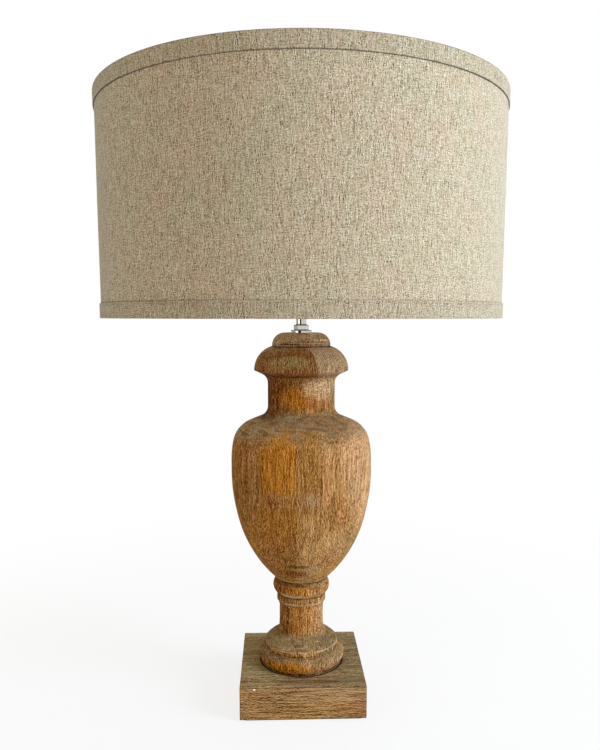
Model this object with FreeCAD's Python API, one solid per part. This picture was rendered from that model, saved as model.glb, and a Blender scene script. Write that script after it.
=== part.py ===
import FreeCAD, Part
import math
import os

# Column table lamp: a turned wooden urn on a square plinth, under a linen drum shade.
# Millimetres, +Z up, the origin on the table under the middle of the plinth, the front at -Y.

# Felt pad and plinth
felt_thickness = 1.5
felt_inset = 3.0
felt_corner = 5.0
plinth_width = 141.4
plinth_height = 38.0
plinth_edge_round = 0.9
nut_well_radius = 27.0
nut_well_depth = 15.0
rod_hole_radius = 5.6
cord_hole_radius = 4.2
cord_hole_height = 8.5

# Cord inlet bushing
bushing_bore_radius = 3.5
bushing_radius = 6.0
bushing_length = 14.0
bushing_flange_radius = 8.5
bushing_flange = 2.0
bushing_clearance = 0.05

# Round tenons that line the wooden pieces up
tenon_radius = 13.0
tenon_length = 10.0
tenon_clearance = 0.15
tenon_end_gap = 0.5

# Pedestal: shadow fillet, torus, flat band, sloping foot, stem, ring and bead
shadow_fillet_radius = 47.0
shadow_fillet_height = 3.0
torus_under_radius = 48.4
torus_radius = 50.9
torus_widest = 6.5
torus_height = 16.0
torus_top_radius = 43.5
band_top_radius = 42.4
band_height = 7.2
band_edge_round = 0.8
stem_foot_radius = 26.5
stem_waist_radius = 25.75
foot_slope_height = 13.5
foot_slope_round = 9.0
stem_flare_height = 10.0
stem_height = 15.5
ring_radius = 28.75
ring_cove_height = 9.1
ring_height = 8.2
bead_root_radius = 28.0
bead_radius = 33.35
bead_half_height = 9.6

# Urn: belly, shoulder, neck and bell
urn_foot_radius = 31.1
urn_foot_step = 0.8
belly_leave_angle = 42.5
belly_low_radius = 72.5
belly_low_height = 66.6
belly_radius = 81.8
belly_height = 131.3
belly_band = 10.0
belly_high_radius = 79.4
belly_high_rise = 22.4
shoulder_radius = 62.3
shoulder_rise = 43.5
neck_radius = 39.1
neck_corner_rise = 9.8
neck_round = 13.0
neck_length = 42.6
under_bell_round = 12.0
bell_radius = 54.9
bell_under_rise = 7.1
bell_lip_height = 1.5
bell_swell = 5.3
bell_height = 28.0
bell_top_radius = 35.0

# Cap turned as a flattened bun
bun_radius = 34.0
bun_height = 15.8
bun_round = 14.2
bun_foot_round = 1.2

# Threaded tube that clamps the column, and its nuts and washers
tube_radius = 4.9
tube_bore_radius = 3.3
tube_below_nut = 2.5
tube_into_socket = 7.0
thread_clearance = 0.05
bottom_washer_radius = 16.0
bottom_washer_thickness = 2.0
lock_washer_radius = 8.0
lock_washer_thickness = 1.6
lock_washer_slit = 1.5
nut_across_flats = 15.2
bottom_nut_height = 5.5
top_nut_height = 6.0
nut_chamfer = 0.8
check_ring_radius = 12.2
check_ring_height = 3.0
check_ring_round = 0.8
neck_tube_radius = 6.25
neck_tube_length = 25.0

# Harp saddle: a flat strip bent up at both ends
saddle_width = 12.7
saddle_thickness = 1.2
saddle_bend = 2.5
saddle_shoulder_rise = 8.0
tongue_width = 3.0
tongue_length = 9.5

# Harp: one bent wire with a pad at its crown
harp_wire_radius = 1.5
harp_leg_spacing = 49.0
harp_height = 203.0
harp_widest_radius = 57.0
harp_leg_start = 3.4
harp_leg_spare = 1.0
harp_lower_bend = 70.0
harp_crown_bend = 48.0
harp_widest_rise = 150.0
harp_tongue_gap = 0.15
crown_pad_radius = 7.0
crown_pad_thickness = 2.6

# Sleeves that lock the harp to the saddle
sleeve_wall = 0.9
sleeve_length = 12.0
sleeve_clearance = 0.15
sleeve_travel = 10.0

# Swivel stud on the harp's crown
stud_shank_radius = 2.5
stud_running_gap = 0.05
stud_head_radius = 4.2
stud_head_height = 1.2
stud_seat_radius = 5.5
stud_seat_height = 3.0
stud_thread_radius = 3.1
stud_thread_length = 13.0

# Lamp holder
holder_hub_radius = 7.5
holder_hub_height = 8.0
holder_cap_radius = 18.2
holder_cap_flare = 12.0
holder_cap_shoulder = 4.2
holder_cap_round = 7.0
holder_cap_rim = 5.0
sheet_wall = 0.6
holder_shell_radius = 17.2
holder_shell_height = 44.0
holder_neck_radius = 16.0
holder_neck_height = 12.0
holder_taper_height = 3.0
insulator_wall = 0.7
insulator_clearance = 0.2
holder_body_height = 16.0
terminal_flat = 11.0
terminal_flat_width = 9.0
terminal_head_radius = 2.8
terminal_head_height = 1.8
terminal_shank_radius = 1.5
terminal_shank_length = 5.0
screw_shell_radius = 13.9
screw_shell_wall = 0.5
screw_shell_height = 22.0
screw_shell_foot = 9.5
contact_width = 5.0
contact_thickness = 0.4
contact_length = 12.0
contact_rise = 2.2
set_screw_radius = 1.5
set_screw_height = 4.0
set_screw_proud = 1.2
screw_slot_depth = 0.8
screw_slot_width = 0.6

# Turn switch
spindle_radius = 2.0
spindle_running_gap = 0.1
spindle_length = 24.0
spindle_root = 6.0
spindle_rise = 8.2
knob_radius = 5.2
knob_length = 12.0
knob_gap = 2.0
knob_grooves = 12
knob_groove_radius = 0.7
knob_crown = 1.0

# Bulb
bulb_length = 108.0
bulb_radius = 30.0
bulb_thread_radius = 13.1
bulb_thread_height = 22.0
bulb_seat_gap = 0.3
bulb_contact_radius = 4.8
bulb_contact_height = 1.2
bulb_insulator_height = 3.2
bulb_insulator_radius = 9.5
bulb_glass_wall = 1.0
bulb_neck_radius = 12.0
bulb_neck_height = 16.0

# Drum shade
shade_bottom_radius = 225.0
shade_flare = 3.1
shade_height = 239.2
shade_bottom_height = 446.0
trim_height = 16.0
trim_proud = 1.3
trim_fold = 5.0
trim_fold_thickness = 0.9
linen_thickness = 0.6
backing_thickness = 0.8
seam_lap_width = 12.0
seam_lap_thickness = 0.5
ring_wire_radius = 1.4
ring_gap = 0.1

# Spider: a hub with three wires that rise to the top ring
spider_arms = 3
spider_wire_radius = 1.5
spider_bend = 6.0
hub_radius = 10.5
hub_height = 4.4
hub_hole_radius = 3.5
arm_insertion = 5.0
arm_ring_inset = 0.6

# Finial
finial_insert_radius = 4.4
finial_insert_height = 9.0
finial_running_gap = 0.05
finial_foot_radius = 6.6
finial_foot_height = 2.0
finial_waist_radius = 5.3
finial_waist_height = 3.0
finial_waist_hollow = 0.3
finial_ball_radius = 6.8
finial_roof = 1.2

# Heights that follow from the sizes above
plinth_bottom = felt_thickness
plinth_top = plinth_bottom + plinth_height
well_top = plinth_bottom + nut_well_depth
ring_base = (plinth_top + shadow_fillet_height + torus_height + band_height
             + foot_slope_height + stem_flare_height + stem_height + ring_cove_height)
bead_base = ring_base + ring_height
pedestal_top = bead_base + 2 * bead_half_height
shoulder_base = pedestal_top + belly_height + belly_band
neck_corner = shoulder_base + shoulder_rise + neck_corner_rise
under_bell = neck_corner + neck_length
bell_lip = under_bell + bell_under_rise
urn_top = bell_lip + bell_height
wood_top = urn_top + bun_height
nut_base = wood_top + check_ring_height
neck_tube_base = nut_base + top_nut_height
saddle_base = neck_tube_base + neck_tube_length
holder_base = saddle_base + saddle_thickness
tube_top = holder_base + tube_into_socket
bottom_nut_base = well_top - bottom_washer_thickness - lock_washer_thickness - bottom_nut_height
tube_bottom = bottom_nut_base - tube_below_nut
sleeve_base = saddle_base + saddle_shoulder_rise
leg_x = harp_leg_spacing / 2
tongue_inner_x = leg_x + harp_wire_radius + harp_tongue_gap
harp_crown = saddle_base + harp_height
pad_base = harp_crown - crown_pad_thickness
hub_base = harp_crown + stud_running_gap + stud_seat_height
hub_top = hub_base + hub_height
holder_rim_base = holder_base + holder_hub_height + holder_cap_flare
shell_base = holder_rim_base
shell_top = shell_base + holder_shell_height
body_top = shell_base + holder_body_height
contact_top = body_top + contact_rise
bulb_base_height = contact_top + bulb_seat_gap
bulb_cap_base = bulb_base_height + bulb_contact_height + bulb_insulator_height
bulb_cap_top = bulb_cap_base + bulb_thread_height
spindle_height = shell_base + spindle_rise
shade_top_height = shade_bottom_height + shade_height
shade_top_radius = shade_bottom_radius + shade_flare
ring_low_height = shade_bottom_height + trim_fold_thickness + ring_wire_radius + ring_gap
ring_high_height = shade_top_height - trim_fold_thickness - ring_wire_radius - ring_gap
arm_height = hub_base + hub_height / 2


def point(radius, height):
    """A point of a half section, which lies in the XZ plane."""
    return FreeCAD.Vector(radius, 0, height)


class Outline:
    """A closed half section, drawn edge by edge and revolved about Z."""

    def __init__(self, radius, height):
        self.start = point(radius, height)
        self.at = self.start
        self.heading = None
        self.edges = []

    def line(self, radius, height):
        """A straight edge to a point."""
        end = point(radius, height)
        self.edges.append(Part.LineSegment(self.at, end).toShape())
        self.heading = (end - self.at).normalize()
        self.at = end
        return self

    def leave(self, degrees):
        """The direction in which the next flowing arc starts, from outwards towards up."""
        angle = math.radians(degrees)
        self.heading = point(math.cos(angle), math.sin(angle))
        return self

    def bulge(self, radius, height, rise):
        """An arc to a point that stands out to the right of its chord by a rise."""
        end = point(radius, height)
        chord = end - self.at
        along = point(chord.x / chord.Length, chord.z / chord.Length)
        middle = (self.at + end) * 0.5 + point(along.z, -along.x) * rise
        self.edges.append(Part.Arc(self.at, middle, end).toShape())
        turn = 2 * math.atan2(2 * rise, chord.Length)
        self.heading = point(along.x * math.cos(turn) - along.z * math.sin(turn),
                             along.x * math.sin(turn) + along.z * math.cos(turn))
        self.at = end
        return self

    def flow(self, radius, height):
        """The arc to a point that carries on smoothly from the edge before it."""
        chord = point(radius, height) - self.at
        across = self.heading.x * chord.z - self.heading.z * chord.x
        turn = math.atan2(across, self.heading.dot(chord))
        return self.bulge(radius, height, chord.Length / 2 * math.tan(turn / 2))

    def corner(self, radius, height, rounding, onward):
        """A straight edge to a rounded corner, and on to the next point."""
        tip = point(radius, height)
        end = point(*onward)
        before = (self.at - tip).normalize()
        after = (end - tip).normalize()
        half = before.getAngle(after) / 2
        room = 0.98 * min((self.at - tip).Length, (end - tip).Length)
        reach = min(rounding / math.tan(half), room)
        first = tip + before * reach
        last = tip + after * reach
        self.line(first.x, first.z)
        self.flow(last.x, last.z)
        return self.line(end.x, end.z)

    def turned(self):
        """The solid of revolution inside the closed outline."""
        self.edges.append(Part.LineSegment(self.at, self.start).toShape())
        face = Part.Face(Part.Wire(self.edges))
        return face.revolve(point(0, 0), FreeCAD.Vector(0, 0, 1), 360)


def cylinder(radius, height, base, direction=FreeCAD.Vector(0, 0, 1)):
    """A round bar from its base centre along a direction."""
    return Part.makeCylinder(radius, height, base, direction)


def upright(radius, base, height):
    """A round bar on the lamp's axis."""
    return cylinder(radius, height, point(0, base))


def washer(radius, bore, base, height):
    """A flat ring on the lamp's axis."""
    return upright(radius, base, height).cut(upright(bore, base, height))


def rounded_block(width, depth, height, base, corner):
    """A block centred on the lamp's axis with its upright edges rounded."""
    block = Part.makeBox(width, depth, height, FreeCAD.Vector(-width / 2, -depth / 2, base))
    uprights = [edge for edge in block.Edges if abs(edge.tangentAt(edge.FirstParameter).z) > 0.9]
    return block.makeFillet(corner, uprights)


def hex_nut(base, height):
    """A hexagon nut for the threaded tube, with its corners chamfered at both faces."""
    across_corners = nut_across_flats / math.cos(math.pi / 6)
    corners = [FreeCAD.Vector(across_corners / 2 * math.cos(math.pi / 3 * side),
                              across_corners / 2 * math.sin(math.pi / 3 * side), base)
               for side in range(6)]
    prism = Part.Face(Part.makePolygon(corners + corners[:1])).extrude(FreeCAD.Vector(0, 0, height))
    rim = across_corners / 2
    barrel = Outline(tube_radius + thread_clearance, base)
    barrel.line(rim - nut_chamfer, base).line(rim, base + nut_chamfer)
    barrel.line(rim, base + height - nut_chamfer).line(rim - nut_chamfer, base + height)
    barrel.line(tube_radius + thread_clearance, base + height)
    return prism.common(barrel.turned())


def make_felt_pad():
    """Felt glued under the plinth, a little inside its edges."""
    side = plinth_width - 2 * felt_inset
    return rounded_block(side, side, felt_thickness, 0, felt_corner)


def make_plinth():
    """Square plinth with a nut well beneath, a tenon socket above and a cord hole behind."""
    block = Part.makeBox(plinth_width, plinth_width, plinth_height,
                         FreeCAD.Vector(-plinth_width / 2, -plinth_width / 2, plinth_bottom))
    block = block.makeFillet(plinth_edge_round, block.Edges)
    block = block.cut(upright(nut_well_radius, plinth_bottom, nut_well_depth))
    block = block.cut(upright(rod_hole_radius, plinth_bottom, plinth_height))
    socket_depth = tenon_length + tenon_end_gap
    block = block.cut(upright(tenon_radius + tenon_clearance, plinth_top - socket_depth, socket_depth))
    back = FreeCAD.Vector(0, plinth_width / 2, plinth_bottom + cord_hole_height)
    inward = FreeCAD.Vector(0, -1, 0)
    block = block.cut(cylinder(cord_hole_radius, plinth_width / 2, back, inward))
    return block.cut(cylinder(bushing_radius + bushing_clearance, bushing_length, back, inward))


def make_cord_bushing():
    """Flanged bush in the back of the plinth, through which the cord comes in."""
    back = FreeCAD.Vector(0, plinth_width / 2, plinth_bottom + cord_hole_height)
    outward = FreeCAD.Vector(0, 1, 0)
    barrel = cylinder(bushing_radius, bushing_length, back - outward * bushing_length, outward)
    flange = cylinder(bushing_flange_radius, bushing_flange, back, outward)
    rim = [edge for edge in flange.Edges if abs(edge.BoundBox.YMin - back.y - bushing_flange) < 0.01]
    flange = flange.makeFillet(min(0.8, bushing_flange / 2), rim)
    whole = bushing_length + bushing_flange
    bore = cylinder(bushing_bore_radius, whole, back - outward * bushing_length, outward)
    return barrel.fuse(flange).cut(bore).removeSplitter()


def make_pedestal():
    """Turned foot, stem and bead, with a tenon at each end."""
    height = plinth_top
    shape = Outline(rod_hole_radius, height - tenon_length)
    shape.line(tenon_radius, height - tenon_length).line(tenon_radius, height)
    shape.line(shadow_fillet_radius, height)
    height += shadow_fillet_height
    shape.line(shadow_fillet_radius, height).line(torus_under_radius, height)
    shape.bulge(torus_radius, height + torus_widest, 0.4)
    height += torus_height
    shape.leave(90).flow(torus_top_radius, height)
    height += band_height
    foot_top = height + foot_slope_height
    shape.corner(band_top_radius, height, band_edge_round,
                 (0.3 * stem_foot_radius + 0.7 * band_top_radius, height + 0.3 * foot_slope_height))
    stem_base = foot_top + stem_flare_height
    shape.corner(stem_foot_radius, foot_top - 0.18 * foot_slope_height, foot_slope_round,
                 (stem_waist_radius, stem_base))
    stem_top = stem_base + stem_height
    shape.line(stem_waist_radius, stem_top).flow(ring_radius, ring_base)
    shape.line(ring_radius, bead_base - 0.5).line(bead_root_radius, bead_base)
    shape.bulge(bead_root_radius, pedestal_top, bead_radius - bead_root_radius)
    shape.line(tenon_radius, pedestal_top).line(tenon_radius, pedestal_top + tenon_length)
    shape.line(rod_hole_radius, pedestal_top + tenon_length)
    return shape.turned()


def make_urn():
    """Turned belly, shoulder, neck and bell, with a socket at each end."""
    bore = tenon_radius + tenon_clearance
    socket_depth = tenon_length + tenon_end_gap
    belly = pedestal_top + belly_height
    shape = Outline(rod_hole_radius, pedestal_top + socket_depth)
    shape.line(bore, pedestal_top + socket_depth).line(bore, pedestal_top)
    shape.line(urn_foot_radius - urn_foot_step, pedestal_top)
    shape.line(urn_foot_radius, pedestal_top + urn_foot_step)
    shape.leave(belly_leave_angle).flow(belly_low_radius, pedestal_top + belly_low_height)
    shape.flow(belly_radius, belly).line(belly_radius, shoulder_base)
    shape.flow(belly_high_radius, shoulder_base + belly_high_rise)
    shape.flow(shoulder_radius, shoulder_base + shoulder_rise)
    shape.corner(neck_radius, neck_corner, neck_round, (neck_radius, neck_corner + neck_length / 2))
    shape.corner(neck_radius, under_bell, under_bell_round, (bell_radius - 1.0, bell_lip))
    shape.line(bell_radius, bell_lip + bell_lip_height)
    shape.bulge(bell_top_radius, urn_top, bell_swell)
    shape.line(bore, urn_top).line(bore, urn_top - socket_depth)
    shape.line(rod_hole_radius, urn_top - socket_depth)
    return shape.turned()


def make_top_cap():
    """Turned bun on top of the urn, with a tenon beneath."""
    shape = Outline(rod_hole_radius, urn_top - tenon_length)
    shape.line(tenon_radius, urn_top - tenon_length).line(tenon_radius, urn_top)
    shape.line(bun_radius - bun_foot_round, urn_top)
    shape.flow(bun_radius, urn_top + bun_foot_round)
    shape.corner(bun_radius, wood_top, bun_round, (rod_hole_radius, wood_top))
    return shape.turned()


def make_threaded_tube():
    """Tube through the whole column, from under the plinth into the lamp holder."""
    return washer(tube_radius, tube_bore_radius, tube_bottom, tube_top - tube_bottom)


def make_bottom_washer():
    """Wide washer against the roof of the nut well."""
    base = well_top - bottom_washer_thickness
    return washer(bottom_washer_radius, tube_radius + thread_clearance, base, bottom_washer_thickness)


def make_bottom_lock_washer():
    """Split lock washer between the wide washer and the nut."""
    base = well_top - bottom_washer_thickness - lock_washer_thickness
    ring = washer(lock_washer_radius, tube_radius + thread_clearance, base, lock_washer_thickness)
    slit = Part.makeBox(lock_washer_radius * 2, lock_washer_slit, lock_washer_thickness,
                        FreeCAD.Vector(0, -lock_washer_slit / 2, base))
    return ring.cut(slit)


def make_check_ring():
    """Round flange on top of the wood."""
    shape = Outline(tube_radius + thread_clearance, wood_top)
    shape.line(check_ring_radius, wood_top)
    shape.corner(check_ring_radius, nut_base, check_ring_round, (tube_radius + thread_clearance, nut_base))
    return shape.turned()


def make_neck_tube():
    """Smooth tube that covers the threaded tube between the nut and the saddle."""
    return washer(neck_tube_radius, tube_radius + thread_clearance, neck_tube_base, neck_tube_length)


def make_harp_saddle():
    """Strip bent into a U, narrowed at both ends into tongues for the sleeves."""
    outer = tongue_inner_x + saddle_thickness
    tongue_top = sleeve_base + tongue_length
    strip = Part.makeBox(2 * outer, saddle_width, tongue_top - saddle_base,
                         FreeCAD.Vector(-outer, -saddle_width / 2, saddle_base))
    inside = Part.makeBox(2 * tongue_inner_x, saddle_width, tongue_top - holder_base,
                          FreeCAD.Vector(-tongue_inner_x, -saddle_width / 2, holder_base))
    inner_bends = [edge for edge in inside.Edges
                   if abs(edge.CenterOfMass.z - holder_base) < 0.01 and abs(edge.CenterOfMass.x) > 1]
    outer_bends = [edge for edge in strip.Edges
                   if abs(edge.CenterOfMass.z - saddle_base) < 0.01 and abs(edge.CenterOfMass.x) > 1]
    strip = strip.makeFillet(saddle_bend + saddle_thickness, outer_bends)
    strip = strip.cut(inside.makeFillet(saddle_bend, inner_bends))
    shoulder = (saddle_width - tongue_width) / 2
    for side in (-saddle_width / 2, tongue_width / 2):
        strip = strip.cut(Part.makeBox(2 * outer, shoulder, tongue_length,
                                       FreeCAD.Vector(-outer, side, sleeve_base)))
    return strip.cut(upright(tube_radius + thread_clearance, saddle_base, saddle_thickness))


def harp_path():
    """Half of the harp's centre line, from a leg's lower end to the crown."""
    foot = holder_base + harp_leg_start
    bow = sleeve_base + sleeve_length + sleeve_travel + harp_leg_spare
    swing = harp_widest_radius - leg_x
    rise = saddle_base + harp_widest_rise - harp_crown_bend / 2 - bow
    turn = 2 * math.atan2(swing, rise)
    upper_bend = swing / (1 - math.cos(turn)) - harp_lower_bend
    knee = point(leg_x + harp_lower_bend * (1 - math.cos(turn)), bow + harp_lower_bend * math.sin(turn))
    widest = point(harp_widest_radius, knee.z + upper_bend * math.sin(turn))
    top = harp_crown - crown_pad_thickness / 2
    shape = Outline(leg_x, foot)
    shape.line(leg_x, bow).flow(knee.x, knee.z).flow(widest.x, widest.z)
    shape.line(harp_widest_radius, top - harp_crown_bend)
    shape.flow(harp_widest_radius - harp_crown_bend, top).line(0, top)
    return shape.edges


def wire_sweep(edges, radius):
    """A round wire along a smooth chain of edges."""
    spine = Part.Wire(edges)
    first = edges[0]
    start = first.valueAt(first.FirstParameter)
    along = first.tangentAt(first.FirstParameter)
    section = Part.Wire(Part.makeCircle(radius, start, along))
    return spine.makePipeShell([section], True, False)


def make_harp_frame():
    """Bent wire harp with a round pad at its crown, bored for the swivel stud."""
    half = wire_sweep(harp_path(), harp_wire_radius)
    other = half.mirror(point(0, 0), FreeCAD.Vector(1, 0, 0))
    pad = upright(crown_pad_radius, pad_base, crown_pad_thickness)
    bore = upright(stud_shank_radius + stud_running_gap, pad_base - harp_wire_radius,
                   crown_pad_thickness + 2 * harp_wire_radius)
    trim_above = upright(crown_pad_radius, harp_crown, harp_wire_radius)
    trim_below = upright(crown_pad_radius, pad_base - harp_wire_radius, harp_wire_radius)
    frame = half.fuse(other).fuse(pad).removeSplitter()
    return frame.cut(bore).cut(trim_above).cut(trim_below)


def make_harp_sleeve(side):
    """Flattened sleeve round a harp leg and a saddle tongue, on one side."""
    inner_x = leg_x - harp_wire_radius - sleeve_clearance
    outer_x = tongue_inner_x + saddle_thickness + sleeve_clearance
    depth = max(2 * harp_wire_radius, tongue_width) + 2 * sleeve_clearance
    width = outer_x - inner_x
    block = rounded_block(width + 2 * sleeve_wall, depth + 2 * sleeve_wall, sleeve_length,
                          sleeve_base, sleeve_wall + 0.8)
    hollow = rounded_block(width, depth, sleeve_length, sleeve_base, sleeve_clearance)
    sleeve = block.cut(hollow)
    sleeve.translate(FreeCAD.Vector(side * (inner_x + outer_x) / 2, 0, 0))
    return sleeve


def make_harp_stud():
    """Swivel stud: rivet head, shank, shade seat and thread."""
    seat_base = harp_crown + stud_running_gap
    head_top = pad_base - stud_running_gap
    shape = Outline(0, head_top - stud_head_height)
    shape.line(stud_head_radius * 0.7, head_top - stud_head_height)
    shape.flow(stud_head_radius, head_top - stud_head_height / 3)
    shape.line(stud_head_radius, head_top).line(stud_shank_radius, head_top)
    shape.line(stud_shank_radius, seat_base).line(stud_seat_radius, seat_base)
    shape.line(stud_seat_radius, hub_base).line(stud_thread_radius, hub_base)
    thread_top = hub_base + stud_thread_length
    shape.line(stud_thread_radius, thread_top - 0.6).line(stud_thread_radius - 0.6, thread_top)
    shape.line(0, thread_top)
    return shape.turned()


def make_socket_cap():
    """Cup-shaped lower cap of the lamp holder, with a threaded hub."""
    bore = tube_radius + thread_clearance
    hub_top_height = holder_base + holder_hub_height
    rim_top = holder_rim_base + holder_cap_rim
    inner = holder_cap_radius - sheet_wall
    slope = holder_cap_shoulder / (holder_cap_radius - holder_hub_radius)
    floor = hub_top_height + sheet_wall * math.hypot(1, slope)
    shape = Outline(bore, holder_base)
    shape.line(holder_hub_radius, holder_base).line(holder_hub_radius, hub_top_height)
    shape.corner(holder_cap_radius, hub_top_height + holder_cap_shoulder, holder_cap_round,
                 (holder_cap_radius, rim_top))
    shape.line(inner, rim_top)
    shape.corner(inner, floor + slope * (inner - holder_hub_radius), holder_cap_round - sheet_wall,
                 (holder_hub_radius, floor))
    shape.line(bore, floor)
    return shape.turned().cut(set_screw_bar())


def set_screw_bar():
    """Round bar from the threaded tube out through the cap's hub."""
    start = FreeCAD.Vector(0, tube_radius + thread_clearance, holder_base + set_screw_height)
    length = holder_hub_radius - tube_radius - thread_clearance + set_screw_proud
    return cylinder(set_screw_radius, length, start, FreeCAD.Vector(0, 1, 0))


def make_socket_set_screw():
    """Set screw through the cap's hub, which stops it from unscrewing."""
    tip = holder_hub_radius + set_screw_proud - screw_slot_depth
    slot = Part.makeBox(2 * set_screw_radius, screw_slot_depth, screw_slot_width,
                        FreeCAD.Vector(-set_screw_radius, tip,
                                       holder_base + set_screw_height - screw_slot_width / 2))
    return set_screw_bar().cut(slot)


def make_socket_shell():
    """Brass-plated shell of the lamp holder, with a narrower neck above."""
    neck_base = shell_top - holder_neck_height
    outside = holder_shell_radius
    shape = Outline(outside - sheet_wall, shell_base)
    shape.line(outside, shell_base).line(outside, neck_base - holder_taper_height)
    shape.line(holder_neck_radius, neck_base).line(holder_neck_radius, shell_top)
    shape.line(holder_neck_radius - sheet_wall, shell_top).line(holder_neck_radius - sheet_wall, neck_base)
    shape.line(outside - sheet_wall, neck_base - holder_taper_height)
    return shape.turned().cut(spindle_hole())


def spindle_hole():
    """Room for the switch spindle through the shell and its liner."""
    start = FreeCAD.Vector(0, -spindle_root, spindle_height)
    return cylinder(spindle_radius + 5 * spindle_running_gap, holder_cap_radius, start,
                    FreeCAD.Vector(0, -1, 0))


def make_socket_insulator():
    """Paper liner inside the shell."""
    outside = holder_shell_radius - sheet_wall - insulator_clearance
    height = holder_shell_height - holder_neck_height - holder_taper_height - 1.0
    return washer(outside, outside - insulator_wall, shell_base, height).cut(spindle_hole())


def make_socket_body():
    """Moulded body that holds the switch, the terminals and the screw shell."""
    radius = holder_shell_radius - sheet_wall - insulator_wall - 2 * insulator_clearance
    body = upright(radius, shell_base, holder_body_height)
    start = FreeCAD.Vector(0, -spindle_root, spindle_height)
    body = body.cut(cylinder(spindle_radius + spindle_running_gap, radius, start, FreeCAD.Vector(0, -1, 0)))
    for side in (-1, 1):
        low_x = terminal_flat if side > 0 else -radius
        body = body.cut(Part.makeBox(radius - terminal_flat, terminal_flat_width, holder_body_height,
                                     FreeCAD.Vector(low_x, -terminal_flat_width / 2, shell_base)))
        screw_hole = cylinder(terminal_shank_radius, terminal_shank_length,
                              FreeCAD.Vector(side * terminal_flat, 0, shell_base + holder_body_height / 2),
                              FreeCAD.Vector(-side, 0, 0))
        body = body.cut(screw_hole)
    return body


def make_terminal_screws():
    """The two screws that clamp the wires, one each side."""
    screws = []
    height = shell_base + holder_body_height / 2
    for side in (-1, 1):
        out = FreeCAD.Vector(side, 0, 0)
        seat = FreeCAD.Vector(side * terminal_flat, 0, height)
        head = cylinder(terminal_head_radius, terminal_head_height, seat, out)
        shank = cylinder(terminal_shank_radius, terminal_shank_length, seat, out * -1)
        slot_x = terminal_flat + terminal_head_height - screw_slot_depth / 2
        slot = Part.makeBox(screw_slot_depth, 2 * terminal_head_radius, screw_slot_width,
                            FreeCAD.Vector(side * slot_x - screw_slot_depth / 2,
                                           -terminal_head_radius, height - screw_slot_width / 2))
        screws.append(head.fuse(shank).cut(slot).removeSplitter())
    return Part.makeCompound(screws)


def make_screw_shell():
    """Threaded shell that takes the bulb, with an inturned foot on the body."""
    outside = screw_shell_radius
    inside = outside - screw_shell_wall
    top = body_top + screw_shell_height
    shape = Outline(screw_shell_foot, body_top)
    shape.line(outside, body_top).line(outside, top).line(inside, top)
    shape.line(inside, body_top + screw_shell_wall).line(screw_shell_foot, body_top + screw_shell_wall)
    return shape.turned()


def make_centre_contact():
    """Sprung tongue under the bulb, bent up from a flat strip."""
    half = contact_length / 2
    low = [(-half, body_top), (0.2 * half, body_top), (half, contact_top - contact_thickness)]
    high = [(x, z + contact_thickness) for x, z in reversed(low)]
    corners = [FreeCAD.Vector(-contact_width / 2, y, z) for y, z in low + high]
    profile = Part.Face(Part.makePolygon(corners + corners[:1]))
    return profile.extrude(FreeCAD.Vector(contact_width, 0, 0))


def make_switch_spindle():
    """Round spindle from the switch to its knob."""
    start = FreeCAD.Vector(0, -spindle_root - 0.3, spindle_height)
    return cylinder(spindle_radius, spindle_length, start, FreeCAD.Vector(0, -1, 0))


def make_switch_knob():
    """Fluted knob on the end of the spindle."""
    forward = FreeCAD.Vector(0, -1, 0)
    face = FreeCAD.Vector(0, -holder_shell_radius - knob_gap, spindle_height)
    knob = cylinder(knob_radius, knob_length, face, forward)
    front = [edge for edge in knob.Edges if abs(edge.BoundBox.YMax - face.y + knob_length) < 0.01]
    knob = knob.makeFillet(knob_crown, front)
    for step in range(knob_grooves):
        angle = 2 * math.pi * step / knob_grooves
        groove = face + FreeCAD.Vector(knob_radius * math.cos(angle), 0, knob_radius * math.sin(angle))
        knob = knob.cut(cylinder(knob_groove_radius, knob_length, groove, forward))
    tip = spindle_root + 0.3 + spindle_length
    depth = tip - holder_shell_radius - knob_gap
    return knob.cut(cylinder(spindle_radius, depth, face, forward))


def make_bulb_contact():
    """Solder button at the foot of the bulb."""
    shape = Outline(0, bulb_base_height)
    shape.line(bulb_contact_radius * 0.5, bulb_base_height)
    shape.flow(bulb_contact_radius, bulb_base_height + bulb_contact_height)
    shape.line(0, bulb_base_height + bulb_contact_height)
    return shape.turned()


def make_bulb_insulator():
    """Dark glass ring between the bulb's two contacts."""
    base = bulb_base_height + bulb_contact_height
    shape = Outline(0, base)
    shape.line(bulb_contact_radius + 0.8, base)
    shape.line(bulb_insulator_radius, base + bulb_insulator_height)
    shape.line(0, base + bulb_insulator_height)
    return shape.turned()


def make_bulb_cap():
    """Screw cap of the bulb, a closed cup of thin sheet."""
    inside = bulb_thread_radius - sheet_wall
    shape = Outline(0, bulb_cap_base)
    shape.line(bulb_insulator_radius, bulb_cap_base)
    shape.flow(bulb_thread_radius, bulb_cap_base + 2.5).line(bulb_thread_radius, bulb_cap_top)
    shape.line(inside, bulb_cap_top).line(inside, bulb_cap_base + 3.0)
    shape.line(bulb_insulator_radius, bulb_cap_base + sheet_wall).line(0, bulb_cap_base + sheet_wall)
    return shape.turned()


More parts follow.
